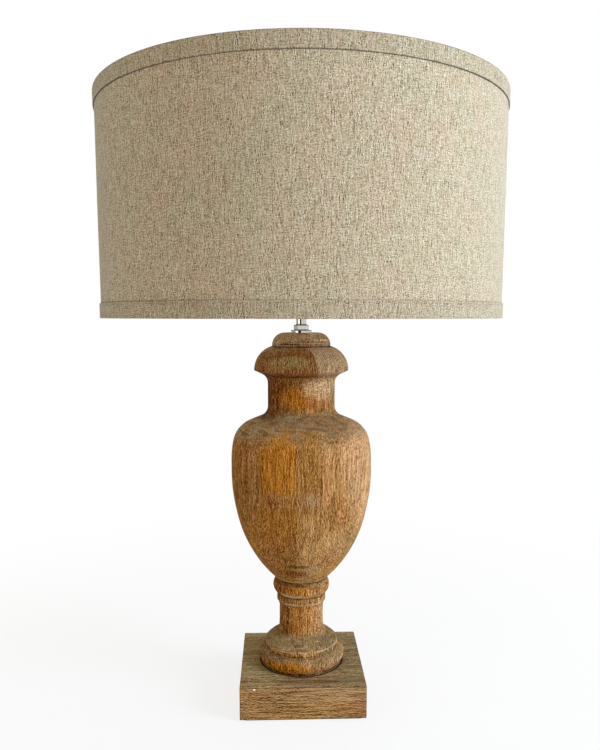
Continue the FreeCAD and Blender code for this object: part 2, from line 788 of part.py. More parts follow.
def make_bulb_glass():
    """Opal glass envelope, a pear shape with its neck in the cap."""
    top = bulb_base_height + bulb_length
    middle = top - bulb_radius
    neck_base = bulb_cap_top - 6.0
    neck_top = bulb_cap_top + bulb_neck_height
    inner = bulb_neck_radius - bulb_glass_wall
    join_angle = math.radians(-32)
    join = point(bulb_radius * math.cos(join_angle), middle + bulb_radius * math.sin(join_angle))
    core = bulb_radius - bulb_glass_wall
    core_join = point(core * math.cos(join_angle), middle + core * math.sin(join_angle))
    shape = Outline(inner, neck_base)
    shape.line(bulb_neck_radius, neck_base).line(bulb_neck_radius, bulb_cap_top)
    shape.flow(bulb_neck_radius + 2.2, neck_top).flow(join.x, join.z)
    shape.leave(90 + math.degrees(join_angle)).flow(bulb_radius, middle).flow(0, top)
    shape.line(0, top - bulb_glass_wall).leave(0).flow(core, middle).flow(core_join.x, core_join.z)
    shape.line(inner + 2.2, neck_top).line(inner, bulb_cap_top)
    return shape.turned()


def wall_radius(height):
    """Outside radius of the shade's linen at a height, inside the proud trims."""
    share = (height - shade_bottom_height) / shade_height
    return shade_bottom_radius - trim_proud + share * shade_flare


def drum(outside_gap, thickness, base, top):
    """A thin tapered wall inside the linen's outer face by a gap."""
    shape = Outline(wall_radius(base) - outside_gap, base)
    shape.line(wall_radius(top) - outside_gap, top)
    shape.line(wall_radius(top) - outside_gap - thickness, top)
    shape.line(wall_radius(base) - outside_gap - thickness, base)
    return shape.turned()


def wall_ends():
    """Lower and upper edge of the shade's wall, under the folded trims."""
    return shade_bottom_height + trim_fold_thickness, shade_top_height - trim_fold_thickness


def make_shade_backing():
    """Stiff white lining to which the linen is bonded."""
    return drum(linen_thickness, backing_thickness, *wall_ends())


def make_shade_fabric():
    """Linen round the lining, with its lap seam at the back."""
    low, high = wall_ends()
    cloth = drum(0, linen_thickness, low, high)
    lap = drum(-seam_lap_thickness, seam_lap_thickness, shade_bottom_height + trim_height,
               shade_top_height - trim_height)
    reach = shade_top_radius * 1.1
    strip = Part.makeBox(seam_lap_width, reach, shade_height,
                         FreeCAD.Vector(-seam_lap_width / 2, 0, shade_bottom_height))
    return cloth.fuse(lap.common(strip)).removeSplitter()


def ring_radius_at(height):
    """Centre-line radius of a wire ring that lies inside the lining."""
    return wall_radius(height) - linen_thickness - backing_thickness - ring_gap - ring_wire_radius


def wire_ring(height):
    """One wire ring of the shade."""
    return Part.makeTorus(ring_radius_at(height), ring_wire_radius, point(0, height))


def make_trim(edge, direction):
    """Self-fabric binding over one edge of the shade, folded in round its ring."""
    inner_end = edge + direction * trim_fold
    outer_end = edge + direction * trim_height
    wall_edge = edge + direction * trim_fold_thickness
    ring_height_here = edge + direction * (trim_fold_thickness + ring_gap + ring_wire_radius)
    pocket = ring_radius_at(ring_height_here) - ring_wire_radius - ring_gap
    fold = pocket - trim_fold_thickness
    outside = wall_radius(edge) + trim_proud
    shape = Outline(wall_radius(outer_end), outer_end)
    shape.line(wall_radius(outer_end) + trim_proud, outer_end)
    shape.line(wall_radius(wall_edge) + trim_proud, wall_edge)
    shape.flow(outside - trim_fold_thickness, edge).line(fold + trim_fold_thickness, edge)
    shape.flow(fold, wall_edge).line(fold, inner_end).line(pocket, inner_end)
    shape.line(pocket, wall_edge).line(wall_radius(wall_edge), wall_edge)
    return shape.turned()


def make_top_trim():
    """Upper binding, notched round the spider's wires."""
    return make_trim(shade_top_height, -1).cut(make_spider_arms())


def make_bottom_trim():
    """Lower binding."""
    return make_trim(shade_bottom_height, 1)


def make_spider_hub():
    """Round hub with a central hole and a radial hole for each wire."""
    hub = washer(hub_radius, hub_hole_radius, hub_base, hub_height)
    rims = [edge for edge in hub.Edges if edge.BoundBox.XMax > hub_radius - 0.1
            and abs(edge.BoundBox.ZLength) < 0.01]
    hub = hub.makeFillet(min(0.6, hub_height / 5), rims)
    return hub.cut(make_spider_arms())


def make_spider_arms():
    """Wires from the hub, each bent up to meet the top ring from below."""
    outer = ring_radius_at(ring_high_height) - arm_ring_inset
    shape = Outline(hub_radius - arm_insertion, arm_height)
    shape.corner(outer, arm_height, spider_bend, (outer, ring_high_height))
    wire = wire_sweep(shape.edges, spider_wire_radius).cut(wire_ring(ring_high_height))
    arms = []
    for step in range(spider_arms):
        arm = wire.copy()
        arm.rotate(point(0, 0), FreeCAD.Vector(0, 0, 1), 90 + 360 * step / spider_arms)
        arms.append(arm)
    return Part.makeCompound(arms)


def make_finial_insert():
    """Threaded brass insert of the finial."""
    return washer(finial_insert_radius, stud_thread_radius + thread_clearance,
                  hub_top, finial_insert_height)


def make_finial_knob():
    """Turned knob over the insert: foot, waist and ball."""
    bore = finial_insert_radius + finial_running_gap
    foot_top = hub_top + finial_foot_height
    waist_top = foot_top + finial_waist_height
    roof = hub_top + stud_thread_length - hub_height + finial_roof
    ball_centre = waist_top + math.sqrt(finial_ball_radius ** 2 - finial_waist_radius ** 2)
    ball_start = math.degrees(math.asin(finial_waist_radius / finial_ball_radius))
    shape = Outline(bore, hub_top)
    shape.line(finial_foot_radius, hub_top).bulge(finial_foot_radius, foot_top, finial_foot_height / 4)
    shape.line(finial_waist_radius, foot_top)
    shape.bulge(finial_waist_radius, waist_top, -finial_waist_hollow)
    shape.leave(ball_start).flow(0, ball_centre + finial_ball_radius)
    shape.line(0, roof).line(bore, roof)
    return shape.turned()


PIECES = {
    "felt_pad": make_felt_pad,
    "plinth": make_plinth,
    "cord_bushing": make_cord_bushing,
    "pedestal": make_pedestal,
    "urn": make_urn,
    "top_cap": make_top_cap,
    "threaded_tube": make_threaded_tube,
    "bottom_washer": make_bottom_washer,
    "bottom_lock_washer": make_bottom_lock_washer,
    "bottom_nut": lambda: hex_nut(bottom_nut_base, bottom_nut_height),
    "check_ring": make_check_ring,
    "top_nut": lambda: hex_nut(nut_base, top_nut_height),
    "neck_tube": make_neck_tube,
    "harp_saddle": make_harp_saddle,
    "harp_frame": make_harp_frame,
    "harp_sleeve_left": lambda: make_harp_sleeve(-1),
    "harp_sleeve_right": lambda: make_harp_sleeve(1),
    "harp_stud": make_harp_stud,
    "socket_cap": make_socket_cap,
    "socket_set_screw": make_socket_set_screw,
    "socket_shell": make_socket_shell,
    "socket_insulator": make_socket_insulator,
    "socket_body": make_socket_body,
    "terminal_screws": make_terminal_screws,
    "screw_shell": make_screw_shell,
    "centre_contact": make_centre_contact,
    "switch_spindle": make_switch_spindle,
    "switch_knob": make_switch_knob,
    "bulb_contact": make_bulb_contact,
    "bulb_insulator": make_bulb_insulator,
    "bulb_cap": make_bulb_cap,
    "bulb_glass": make_bulb_glass,
    "spider_hub": make_spider_hub,
    "spider_arms": make_spider_arms,
    "top_ring": lambda: wire_ring(ring_high_height),
    "bottom_ring": lambda: wire_ring(ring_low_height),
    "shade_backing": make_shade_backing,
    "shade_fabric": make_shade_fabric,
    "top_trim": make_top_trim,
    "bottom_trim": make_bottom_trim,
    "finial_insert": make_finial_insert,
    "finial_knob": make_finial_knob,
}

os.makedirs("parts", exist_ok=True)
for name, make in PIECES.items():
    make().exportStep(os.path.join("parts", name + ".step"))
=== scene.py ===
import itertools
import logging
import math
from collections.abc import Callable, Sequence
from dataclasses import dataclass
from enum import Enum

import bpy
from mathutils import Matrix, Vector, noise


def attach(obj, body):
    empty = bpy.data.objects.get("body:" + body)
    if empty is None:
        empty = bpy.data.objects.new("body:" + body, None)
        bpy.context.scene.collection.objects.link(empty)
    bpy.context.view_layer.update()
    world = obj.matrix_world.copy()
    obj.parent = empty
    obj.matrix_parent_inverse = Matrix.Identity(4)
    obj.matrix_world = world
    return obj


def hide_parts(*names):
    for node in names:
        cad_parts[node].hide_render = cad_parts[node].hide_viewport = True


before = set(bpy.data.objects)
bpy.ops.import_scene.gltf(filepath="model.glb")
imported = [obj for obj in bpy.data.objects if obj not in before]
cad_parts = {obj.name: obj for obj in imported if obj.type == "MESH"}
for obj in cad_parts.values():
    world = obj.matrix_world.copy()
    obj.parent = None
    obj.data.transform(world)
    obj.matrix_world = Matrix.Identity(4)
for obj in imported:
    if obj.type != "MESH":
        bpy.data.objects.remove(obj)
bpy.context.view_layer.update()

LOG = logging.getLogger("column_lamp")
Colour = tuple[float, float, float]
Point = tuple[float, float, float]
Relief = Callable[[float, float, float], float]
FULL_TURN = 2 * math.pi

# Threads and fibres: how far each is set off from its neighbours, how many stretches its start
# may be shifted by, and how far apart the values of neighbouring threads are drawn
SHARPEN = 0.24
START_SPREAD = 7.0
VALUE_SPREAD = 9.0


def linear(level: int) -> float:
    """Linear share of a screen level from 0 to 255, by the standard curve."""
    share = level / 255
    return share / 12.92 if share <= 0.04045 else ((share + 0.055) / 1.055) ** 2.4


def srgb(red: int, green: int, blue: int) -> Colour:
    """Linear colour of a screen colour from 0 to 255."""
    return linear(red), linear(green), linear(blue)


class Sock:
    """An output socket that adds Math nodes when it stands in an expression."""

    def __init__(self, shader: "Shader", socket: bpy.types.NodeSocket | None) -> None:
        """Wrap a socket of a shader's tree; an output node has none."""
        self.shader = shader
        self.socket = socket

    def math(self, operation: str, *others: "float | Sock", clamp: bool = False) -> "Sock":
        """Result of a Math node on this value and others.

        Args:
            operation: the Math node's operation.
            others: further operands, numbers or sockets.
            clamp: whether the result is kept from 0 to 1.

        Returns:
            The node's result.
        """
        settings = {"operation": operation, "use_clamp": clamp}
        return self.shader.node("ShaderNodeMath", settings, [self, *others])

    def __add__(self, other: "float | Sock") -> "Sock":
        """Sum."""
        return self.math("ADD", other)

    __radd__ = __add__

    def __mul__(self, other: "float | Sock") -> "Sock":
        """Product."""
        return self.math("MULTIPLY", other)

    __rmul__ = __mul__

    def __sub__(self, other: "float | Sock") -> "Sock":
        """Difference."""
        return self.math("SUBTRACT", other)

    def __rsub__(self, other: float) -> "Sock":
        """Difference from a number."""
        return self.shader.node("ShaderNodeMath", {"operation": "SUBTRACT"}, [other, self])

    def __truediv__(self, other: "float | Sock") -> "Sock":
        """Quotient."""
        return self.math("DIVIDE", other)

    def __pow__(self, other: float) -> "Sock":
        """Power."""
        return self.math("POWER", other)

    def __abs__(self) -> "Sock":
        """Size without the sign."""
        return self.math("ABSOLUTE")

    def __gt__(self, other: "float | Sock") -> "Sock":
        """1 where this value is the greater."""
        return self.math("GREATER_THAN", other)

    def weighed(self, weight: float) -> "Sock":
        """This value times a weight, kept from 0 to 1."""
        return self.math("MULTIPLY", weight, clamp=True)

    def ramp(self, low: float, high: float, to_low: float = 0.0, to_high: float = 1.0) -> "Sock":
        """Smooth step from one value to another.

        Args:
            low: value at which the step starts.
            high: value at which it ends.
            to_low: result below the step.
            to_high: result above it.

        Returns:
            The stepped value.
        """
        settings = {"interpolation_type": "SMOOTHSTEP"}
        inputs = [self, low, high, to_low, to_high]
        return self.shader.node("ShaderNodeMapRange", settings, inputs)

    def band(self, centre: float, width: float) -> "Sock":
        """1 at a centre, falling smoothly to 0 within a width on both sides."""
        return abs(self - centre).ramp(0, width, 1, 0)


def four(colour: "Colour | Sock") -> "Sock | tuple[float, ...]":
    """A colour with its alpha, or a socket as it is."""
    return colour if isinstance(colour, Sock) else (*colour, 1.0)


class Shader:
    """Node tree of one material, or of the world."""

    def __init__(self, name: str, world: bool = False) -> None:
        """Start an empty tree.

        Args:
            name: the name of the material or world.
            world: whether it is a world.
        """
        self.owner = (bpy.data.worlds if world else bpy.data.materials).new(name)
        self.owner.use_nodes = True
        self.tree = self.owner.node_tree
        self.tree.nodes.clear()
        self.end = "ShaderNodeOutputWorld" if world else "ShaderNodeOutputMaterial"

    def node(self, kind: str, settings: dict | None = None,
             inputs: "dict | Sequence | None" = None, output: int | str = 0) -> Sock:
        """Add a node, set it up and wire it.

        Args:
            kind: the node's type.
            settings: its properties, set before the inputs.
            inputs: values or sockets, by position or by name; None leaves a socket as it is.
            output: the output that is wanted.

        Returns:
            The wanted output.
        """
        made = self.tree.nodes.new(kind)
        for key, value in (settings or {}).items():
            setattr(made, key, value)
        pairs = inputs.items() if isinstance(inputs, dict) else enumerate(inputs or ())
        for key, value in pairs:
            if isinstance(value, Sock):
                self.tree.links.new(value.socket, made.inputs[key])
            elif value is not None:
                made.inputs[key].default_value = value
        return Sock(self, made.outputs[output] if len(made.outputs) else None)

    def place(self) -> Sock:
        """Position in the piece's own space, in metres."""
        return self.node("ShaderNodeTexCoord", output="Object")

    def split(self, vector: Sock) -> tuple[Sock, Sock, Sock]:
        """The three components of a vector.

        Args:
            vector: the vector's socket.

        Returns:
            Its x, y and z.
        """
        first = self.node("ShaderNodeSeparateXYZ", inputs=[vector])
        outputs = first.socket.node.outputs
        return first, Sock(self, outputs[1]), Sock(self, outputs[2])

    def join(self, x: "float | Sock", y: "float | Sock", z: "float | Sock") -> Sock:
        """A vector from three components."""
        return self.node("ShaderNodeCombineXYZ", inputs=[x, y, z])

    def noise(self, vector: Sock, scale: float, detail: float = 2.0, roughness: float = 0.5,
              distortion: float = 0.0) -> Sock:
        """Fractal noise from 0 to 1.

        Args:
            vector: where it is read.
            scale: cells a metre.
            detail: octaves.
            roughness: weight of each further octave.
            distortion: how far the pattern is bent.

        Returns:
            The noise value.
        """
        return self.node("ShaderNodeTexNoise", {"noise_dimensions": "3D"},
                         {"Vector": vector, "Scale": scale, "Detail": detail,
                          "Roughness": roughness, "Distortion": distortion})

    def dashes(self, across: Sock, deep: "float | Sock", along: Sock, pitch: float,
               length: float, seed: float) -> Sock:
        """Random value of each stretch of each thread or fibre, sharpened from side to side.

        Args:
            across: place across the threads.
            deep: place in depth.
            along: place along the threads.
            pitch: metres from thread to thread.
            length: metres of a stretch.
            seed: keeps patterns apart.

        Returns:
            A value that varies about 0.
        """
        random = {"noise_dimensions": "3D"}
        here = (across / pitch).math("FLOOR")
        layer = (deep / pitch).math("FLOOR") if isinstance(deep, Sock) else deep

        def stretch(thread: Sock) -> Sock:
            """Value of a thread's stretch at this place.

            Args:
                thread: the thread's number.

            Returns:
                A random value from 0 to 1.
            """
            start = self.node("ShaderNodeTexWhiteNoise", random, [self.join(thread, layer, seed)])
            step = (along / length + start * START_SPREAD).math("FLOOR")
            cell = self.join(thread, step, start * VALUE_SPREAD + seed)
            return self.node("ShaderNodeTexWhiteNoise", random, [cell])

        beside = stretch(here + 1.0) + stretch(here - 1.0)
        return stretch(here) - 0.5 - SHARPEN * (beside - 1.0)

    def mix(self, share: "float | Sock", first: "Colour | Sock", second: "Colour | Sock",
            blend: str = "MIX") -> Sock:
        """Blend of two colours.

        Args:
            share: weight of the second colour.
            first: colour at 0.
            second: colour at 1.
            blend: the way of mixing.

        Returns:
            The mixed colour.
        """
        settings = {"data_type": "RGBA", "blend_type": blend}
        inputs = {0: share, 6: four(first), 7: four(second)}
        return self.node("ShaderNodeMix", settings, inputs, 2)

    def bump(self, height: Sock, distance: float, strength: float = 1.0) -> Sock:
        """Normal that a height gives.

        Args:
            height: height from 0 to 1.
            distance: metres that a height of 1 stands for.
            strength: weight of the result.

        Returns:
            The bent normal.
        """
        inputs = {"Strength": strength, "Distance": distance, "Height": height}
        return self.node("ShaderNodeBump", inputs=inputs)

    def surface(self, **sockets: "float | Colour | Sock") -> bpy.types.Material:
        """Close the tree with a Principled shader.

        Args:
            **sockets: its inputs, with spaces written as underscores.

        Returns:
            The finished material.
        """
        inputs = {key.replace("_", " "): four(value) if isinstance(value, tuple) else value
                  for key, value in sockets.items()}
        return self.close(self.node("ShaderNodeBsdfPrincipled", inputs=inputs))

    def light_rays(self) -> tuple[Sock, Sock]:
        """Masks of the rays that show the background.

        Returns:
            1 for the camera's, mirrored and transmitted rays, and 1 for the mirrored ones alone.
        """
        rays = self.node("ShaderNodeLightPath").socket.node.outputs
        camera, glossy, through = (Sock(self, rays[ray]) for ray in (
            "Is Camera Ray", "Is Glossy Ray", "Is Transmission Ray"))
        return camera.math("MAXIMUM", glossy).math("MAXIMUM", through), glossy

    def close(self, shader: Sock) -> "bpy.types.Material | bpy.types.World":
        """Wire a shader to the output and return the material or world."""
        self.node(self.end, inputs=[shader])
        return self.owner


Place = tuple[Sock, Sock, Sock]

# Scale, detail and roughness of a noise
Cells = tuple[float, float, float]

# Values of a noise at which a stain starts and is full, and the most that it then covers
Stain = tuple[float, float, float]

# Two values of a pattern, and what it gives at the first and at the second
Ramp = tuple[float, float, float, float]


def stained(cloud: Sock, stain: Stain) -> Sock:
    """Share of a stain that a noise lays down."""
    start, full, weight = stain
    return cloud.ramp(start, full) * weight


class Grain(Enum):
    """The way the wood's fibres run."""

    UPRIGHT = "up the column"
    ACROSS = "from side to side"


class Stave(Enum):
    """The staves that a patch lies on."""

    LEFT = "left of the seam"
    RIGHT = "right of the seam"
    BOTH = "on both sides"


@dataclass(frozen=True)
class Patch:
    """A place where the wood is coloured differently: most are stains, two on the plinth painted
    light.

    centre and reach are in metres, strength is the most that the colour shows, unevenness how
    far the edge wanders, and fade the squared distances, in reaches, where it starts and ends.
    """

    centre: Point
    reach: Point
    colour: Colour
    strength: float = 0.7
    stave: Stave = Stave.BOTH
    unevenness: float = 3.4
    fade: tuple[float, float] = (0.10, 1.70)

    def share(self, shader: Shader, wobble: Sock, side: Sock) -> Sock:
        """How far the patch covers the wood.

        Args:
            shader: the tree.
            wobble: noise that makes the edge uneven.
            side: 0 on the left stave, 1 on the right one.

        Returns:
            0 outside to the strength inside.
        """
        offset = shader.node("ShaderNodeVectorMath", {"operation": "SUBTRACT"},
                             [shader.place(), self.centre])
        across, deep, up = shader.split(
            shader.node("ShaderNodeVectorMath", {"operation": "DIVIDE"}, [offset, self.reach]))
        far = across * across + deep * deep + up * up + (wobble - 0.5) * self.unevenness
        cover = far.ramp(*self.fade, self.strength, 0.0)
        if self.stave is Stave.LEFT:
            return cover * (1.0 - side)
        if self.stave is Stave.RIGHT:
            return cover * side
        return cover


@dataclass(frozen=True)
class Seam:
    """Where two staves meet, in metres across the front.

    low is its place up the belly, high that on the neck, and lip that at the bell's edge.
    It moves from low to high between the two heights of change, and over the bell it arches
    between those of arch, from arch_lead below them.
    """

    low: float = -0.0078
    high: float = 0.001
    lip: float = 0.0158
    change: tuple[float, float] = (0.326, 0.340)
    arch: tuple[float, float] = (0.3875, 0.4135)
    arch_lead: float = 0.012

    def offset(self, height: Sock) -> Sock:
        """Place of the glue line across the front.

        Args:
            height: height above the table.

        Returns:
            Metres from the middle.
        """
        step = height.ramp(*self.change, self.low, self.high)
        share = (height - self.arch[0]) / (self.arch[1] - self.arch[0])
        share = share.math("MAXIMUM", 0.0).math("MINIMUM", 1.0)
        bow = (1.0 - share * share).math("SQRT") * (self.lip - self.high)
        return step + bow * (height > self.arch[0] - self.arch_lead)


@dataclass(frozen=True)
class LimedWood:
    """Turned or planed hardwood, glued up from staves, stained, limed and waxed.

    All lengths are in metres. patches are the stained places, with two patches of painted light
    on the plinth, and scuffs the scratched ones. creases holds height, reach and weight of each
    dark line of painted shade in the creases and where the pieces meet, worn height and reach of
    each rubbed edge, and half the distance from the middle to a block's corners. The painted
    shadow round a column's foot is given by a radius and a reach, and on surfaces that face left
    the lime takes a second tone as painted light. Above veil_from lime veils the wood all over,
    and lime_calm is how much of the grain the lime hides below that height and above it. pitch
    is the distance between fibres, and streak and dash are the lengths of their stretches. A
    name that ends in cells is a noise, in break how a noise breaks up what is named, and in
    weight the share of a colour or of a pattern.
    """

    name: str
    grain: Grain = Grain.UPRIGHT
    seam: Seam = Seam()
    shift: float = 0.0
    patches: tuple[Patch, ...] = ()
    scuffs: tuple[Patch, ...] = ()
    half: float = 1.0
    creases: tuple[tuple[float, float, float], ...] = ()
    worn: tuple[tuple[float, float], ...] = ()
    # Radius and reach of the painted shadow round a column's foot
    foot_shadow: tuple[float, float] = (0.0, 0.001)
    contrast: float = 2.9
    pitch: float = 0.00095
    streak: float = 0.014
    dash: float = 0.0036
    glue_line: float = 0.0009
    corner_line: float = 0.0010
    veil: float = 0.0
    veil_from: float = 1.0
    veil_blend: float = 0.006
    stave_step: float = 0.31
    back_step: float = 0.23
    heart: tuple[float, float] = (-0.014, -0.046)
    far_heart: tuple[float, float] = (0.07, 0.01)
    ring_pitch: float = 0.0052
    ring_bend: float = 0.022
    ring_lean: float = 0.03
    drift_cells: Cells = (19, 3, 0.6)
    cloud_cells: Cells = (75, 3, 0.6)
    tint_cells: Cells = (42, 2, 0.6)
    band_cells: Cells = (330, 2, 0.55)
    strip_cells: Cells = (120, 2, 0.55)
    scratch_cells: Cells = (850, 2, 0.6)
    ring_cells: Cells = (21, 2, 0.55)
    fan_cells: Cells = (420, 2, 0.6)
    rag_cells: Cells = (330, 4, 0.65)
    block_rag_cells: Cells = (90, 4, 0.65)
    rust_stain: Stain = (0.42, 0.60, 0.50)
    olive_stain: Stain = (0.44, 0.64, 0.30)
    blush_stain: Stain = (0.46, 0.66, 0.32)
    strip_stain: Stain = (0.50, 0.64, 0.45)
    light_strip: Stain = (0.48, 0.34, 0.40)
    glue_stain: Stain = (0.40, 0.62, 0.6)
    worn_break: Ramp = (0.40, 0.58, 0.05, 0.75)
    crease_break: Ramp = (0.60, 0.42, 0.35, 1.0)
    corner_facing: Ramp = (0.5, 0.85, 0.85, 0.0)
    # Painted light: which way a surface faces picks the lime's tone, left against right
    lime_facing: Ramp = (-0.5, 0.4, 1.0, 0.0)
    wash_facing: tuple[float, float] = (0.08, 0.75)
    wash_break: Ramp = (0.25, 0.6, 0.45, 0.95)
    veil_break: Ramp = (0.3, 0.6, 0.5, 1.0)
    scratch_break: tuple[float, float] = (0.52, 0.66)
    rag_break: tuple[float, float] = (0.47, 0.58)
    block_rag_break: tuple[float, float] = (0.49, 0.58)
    ring_break: tuple[float, float] = (0.30, 0.58)
    ring_weight: float = 0.42
    rag_weight: float = 0.24
    smear_weight: float = 0.9
    smear_most: float = 0.7
    lime_calm: tuple[float, float] = (0.6, 0.35)
    fan_weight: float = 3.2
    streak_weight: float = 0.62
    dash_weight: float = 0.44
    pore_weight: float = 0.80
    band_weight: float = 0.90
    dark_weight: float = -0.66
    light_weight: float = 0.38
    straw_weight: float = 0.17
    tone_base: float = 0.65
    tone_rise: float = 0.40
    roughness: float = 0.62
    roughness_change: float = 0.16
    relief: float = 0.0005
    relief_strength: float = 0.7
    brown: Colour = srgb(152, 104, 44)
    pale: Colour = srgb(172, 130, 80)
    rust: Colour = srgb(126, 78, 30)
    olive: Colour = srgb(126, 100, 52)
    blush: Colour = srgb(170, 112, 78)
    # Lime tone on surfaces that face left: painted light
    left_side_lime: Colour = srgb(152, 134, 104)
    dark: Colour = (0.30, 0.17, 0.05)
    umber: Colour = srgb(30, 12, 3)
    lime: Colour = srgb(128, 109, 76)
    smear: Colour = srgb(106, 72, 42)
    fleck: Colour = (1.85, 1.75, 1.75)
    straw: Colour = srgb(216, 172, 112)
    chalk: Colour = srgb(196, 170, 126)

    def material(self) -> bpy.types.Material:
        """Build the wood's shader.

        Returns:
            The wood's material.
        """
        shader = Shader(self.name)
        x, y, z = shader.split(shader.place())
        height = z
        from_axis = (x * x + y * y).math("SQRT")
        aside = abs(x)
        if self.grain is Grain.ACROSS:
            x, z = z, x
        across = x - self.seam.offset(z)
        side = across > 0.0
        back = y > 0.0
        jump = side * self.stave_step + self.shift
        deep = y + back * self.back_step
        # The factors of z stretch a pattern along the grain, the added numbers keep the
        # patterns and the staves apart
        long = shader.join(x + jump, deep, z * 0.05 + side * 0.4 + back * 0.9)
        moved = x + self.shift
        drift = shader.noise(shader.join(moved, y, z * 0.6 + side * 0.6), *self.drift_cells)
        cloud = shader.noise(shader.join(moved + 5.0, y, z * 0.45 + side), *self.cloud_cells)
        tint = shader.noise(shader.join(moved + 9.0, y, z * 0.3 + side), *self.tint_cells)
        wide = shader.noise(long, *self.band_cells)
        strip = shader.noise(long, *self.strip_cells)
        normal = shader.split(shader.node("ShaderNodeNewGeometry", output="Normal"))
        wash = self.wash(normal[2], height, cloud)
        smears = self.smears(shader, x, y, height)
        calm = self.over_veil(height, *self.lime_calm)
        tone = (self.tone(shader, (x + jump, deep, z), wide) * (1.0 - calm * wash)
                + self.rays(shader, x, y, height))
        rings = self.rings(shader, (x, y, z), side, drift)

        base = shader.mix(side, self.brown, self.pale)
        for pattern, stain, colour in ((drift, self.rust_stain, self.rust),
                                       (cloud, self.olive_stain, self.olive),
                                       (tint, self.blush_stain, self.blush),
                                       (strip, self.strip_stain, self.rust)):
            base = shader.mix(stained(pattern, stain), base, colour)
        base = shader.mix(stained(strip, self.light_strip), base, self.fleck, "MULTIPLY")
        # Painted light: a second lime tone on surfaces that face left
        lime = shader.mix(normal[0].ramp(*self.lime_facing), self.lime, self.left_side_lime)
        base = shader.mix(wash, base, lime)
        smeared = smears * (wash * self.smear_weight).math("MINIMUM", self.smear_most)
        base = shader.mix(smeared, base, self.smear)
        wiped = (1.0 - smears) * wash * self.rag_weight
        base = shader.mix(wiped, base, self.fleck, "MULTIPLY")
        base = shader.mix(rings * self.ring_weight, base, self.rust)

        wobble = drift * 0.35 + cloud * 0.40 + strip * 0.25
        scratches = shader.join(x * 0.13, y * 0.13, z + self.shift)
        scratch = shader.noise(scratches, *self.scratch_cells).ramp(*self.scratch_break)
        for patch in self.patches:
            base = shader.mix(patch.share(shader, wobble, side), base, patch.colour)
        for patch in self.scuffs:
            base = shader.mix(patch.share(shader, wobble, side) * scratch, base, patch.colour)

        base = shader.mix(tone.weighed(self.dark_weight), base, self.dark, "MULTIPLY")
        base = shader.mix(tone.weighed(self.light_weight), base, self.fleck, "MULTIPLY")
        base = shader.mix(tone.weighed(self.straw_weight), base, self.straw)
        start, full, weight = self.glue_stain
        glued = across.band(0.0, self.glue_line) * drift.ramp(start, full) * weight
        base = shader.mix(glued, base, self.dark, "MULTIPLY")
        for level, reach in self.worn:
            rubbed = height.band(level, reach) * tint.ramp(*self.worn_break)
            base = shader.mix(rubbed, base, self.chalk)
        # Painted shade: dark lines in the creases and where the pieces meet, broken up by noise
        for level, reach, weight in self.creases:
            painted_shade = height.band(level, reach) * cloud.ramp(*self.crease_break) * weight
            base = shader.mix(painted_shade, base, self.umber)
        # Painted shadow: a dark ring round the column's foot
        base = shader.mix(from_axis.band(*self.foot_shadow), base, self.umber)
        facing = abs(normal[0]).ramp(*self.corner_facing)
        base = shader.mix(aside.band(self.half, self.corner_line) * facing, base, self.umber)
        relief = shader.bump(wide - rings * 0.3, self.relief, self.relief_strength)
        return shader.surface(Base_Color=base,
                              Roughness=self.roughness + self.roughness_change * cloud,
                              Specular_IOR_Level=0.02, Normal=relief)

    def over_veil(self, height: Sock, below: float, above: float) -> Sock:
        """A value that changes where the veil of lime begins.

        Args:
            height: height above the table.
            below: the value below the veil.
            above: the value in it.

        Returns:
            The value at this height.
        """
        start, end = self.veil_from - self.veil_blend, self.veil_from + self.veil_blend
        return height.ramp(start, end, below, above)

    def tone(self, shader: Shader, place: Place, wide: Sock) -> Sock:
        """Light and dark of the fibres and pores.

        Args:
            shader: the tree.
            place: where the wood is looked at, with the grain upright.
            wide: smooth noise of the broader bands.

        Returns:
            Below 0 in dark pores, above 0 in filled and rubbed ones.
        """
        streak = shader.dashes(*place, self.pitch, self.streak, 1.0)
        dash = shader.dashes(*place, self.pitch, self.dash, 4.0)
        pore = shader.dashes(*place, self.pitch, self.pitch * 0.9, 7.0)
        tone = (streak * self.streak_weight + dash * self.dash_weight + pore * self.pore_weight
                + (wide - 0.5) * self.band_weight) * self.contrast
        return tone * (self.tone_base + abs(tone) * self.tone_rise)

    def rings(self, shader: Shader, place: Place, side: Sock, drift: Sock) -> Sock:
        """Growth rings about a heart that lies outside the blank.

        Args:
            shader: the tree.
            place: where the wood is looked at, with the grain upright.
            side: which stave.
            drift: slow noise that bends the rings.

        Returns:
            0 in early wood to 1 at a ring's dark edge.
        """
        x, y, z = place
        heart_x = x - self.heart[0] - side * (self.far_heart[0] - self.heart[0])
        heart_y = y - self.heart[1] - side * (self.far_heart[1] - self.heart[1])
        bend = shader.noise(shader.join(x, y, z * 0.35 + self.shift), *self.ring_cells)
        reach = ((heart_x * heart_x + heart_y * heart_y).math("SQRT")
                 + bend * self.ring_bend + z * self.ring_lean)
        turn = (reach / self.ring_pitch).math("FRACT")
        return (turn ** 2.0) * drift.ramp(*self.ring_break)

    def rays(self, shader: Shader, x: Sock, y: Sock, height: Sock) -> Sock:
        """Streaks that fan out over the domed tops of a column.

        Args:
            shader: the tree.
            x: place across the front.
            y: place in depth.
            height: height above the table.

        Returns:
            Below 0 in a dark streak, above 0 in a light one.
        """
        around = x.math("ARCTAN2", y * -1.0) * 0.05
        place = shader.join(around, height * 0.12, self.shift)
        streak = shader.noise(place, *self.fan_cells) - 0.5
        return streak * self.over_veil(height, 0.0, 1.0) * self.fan_weight

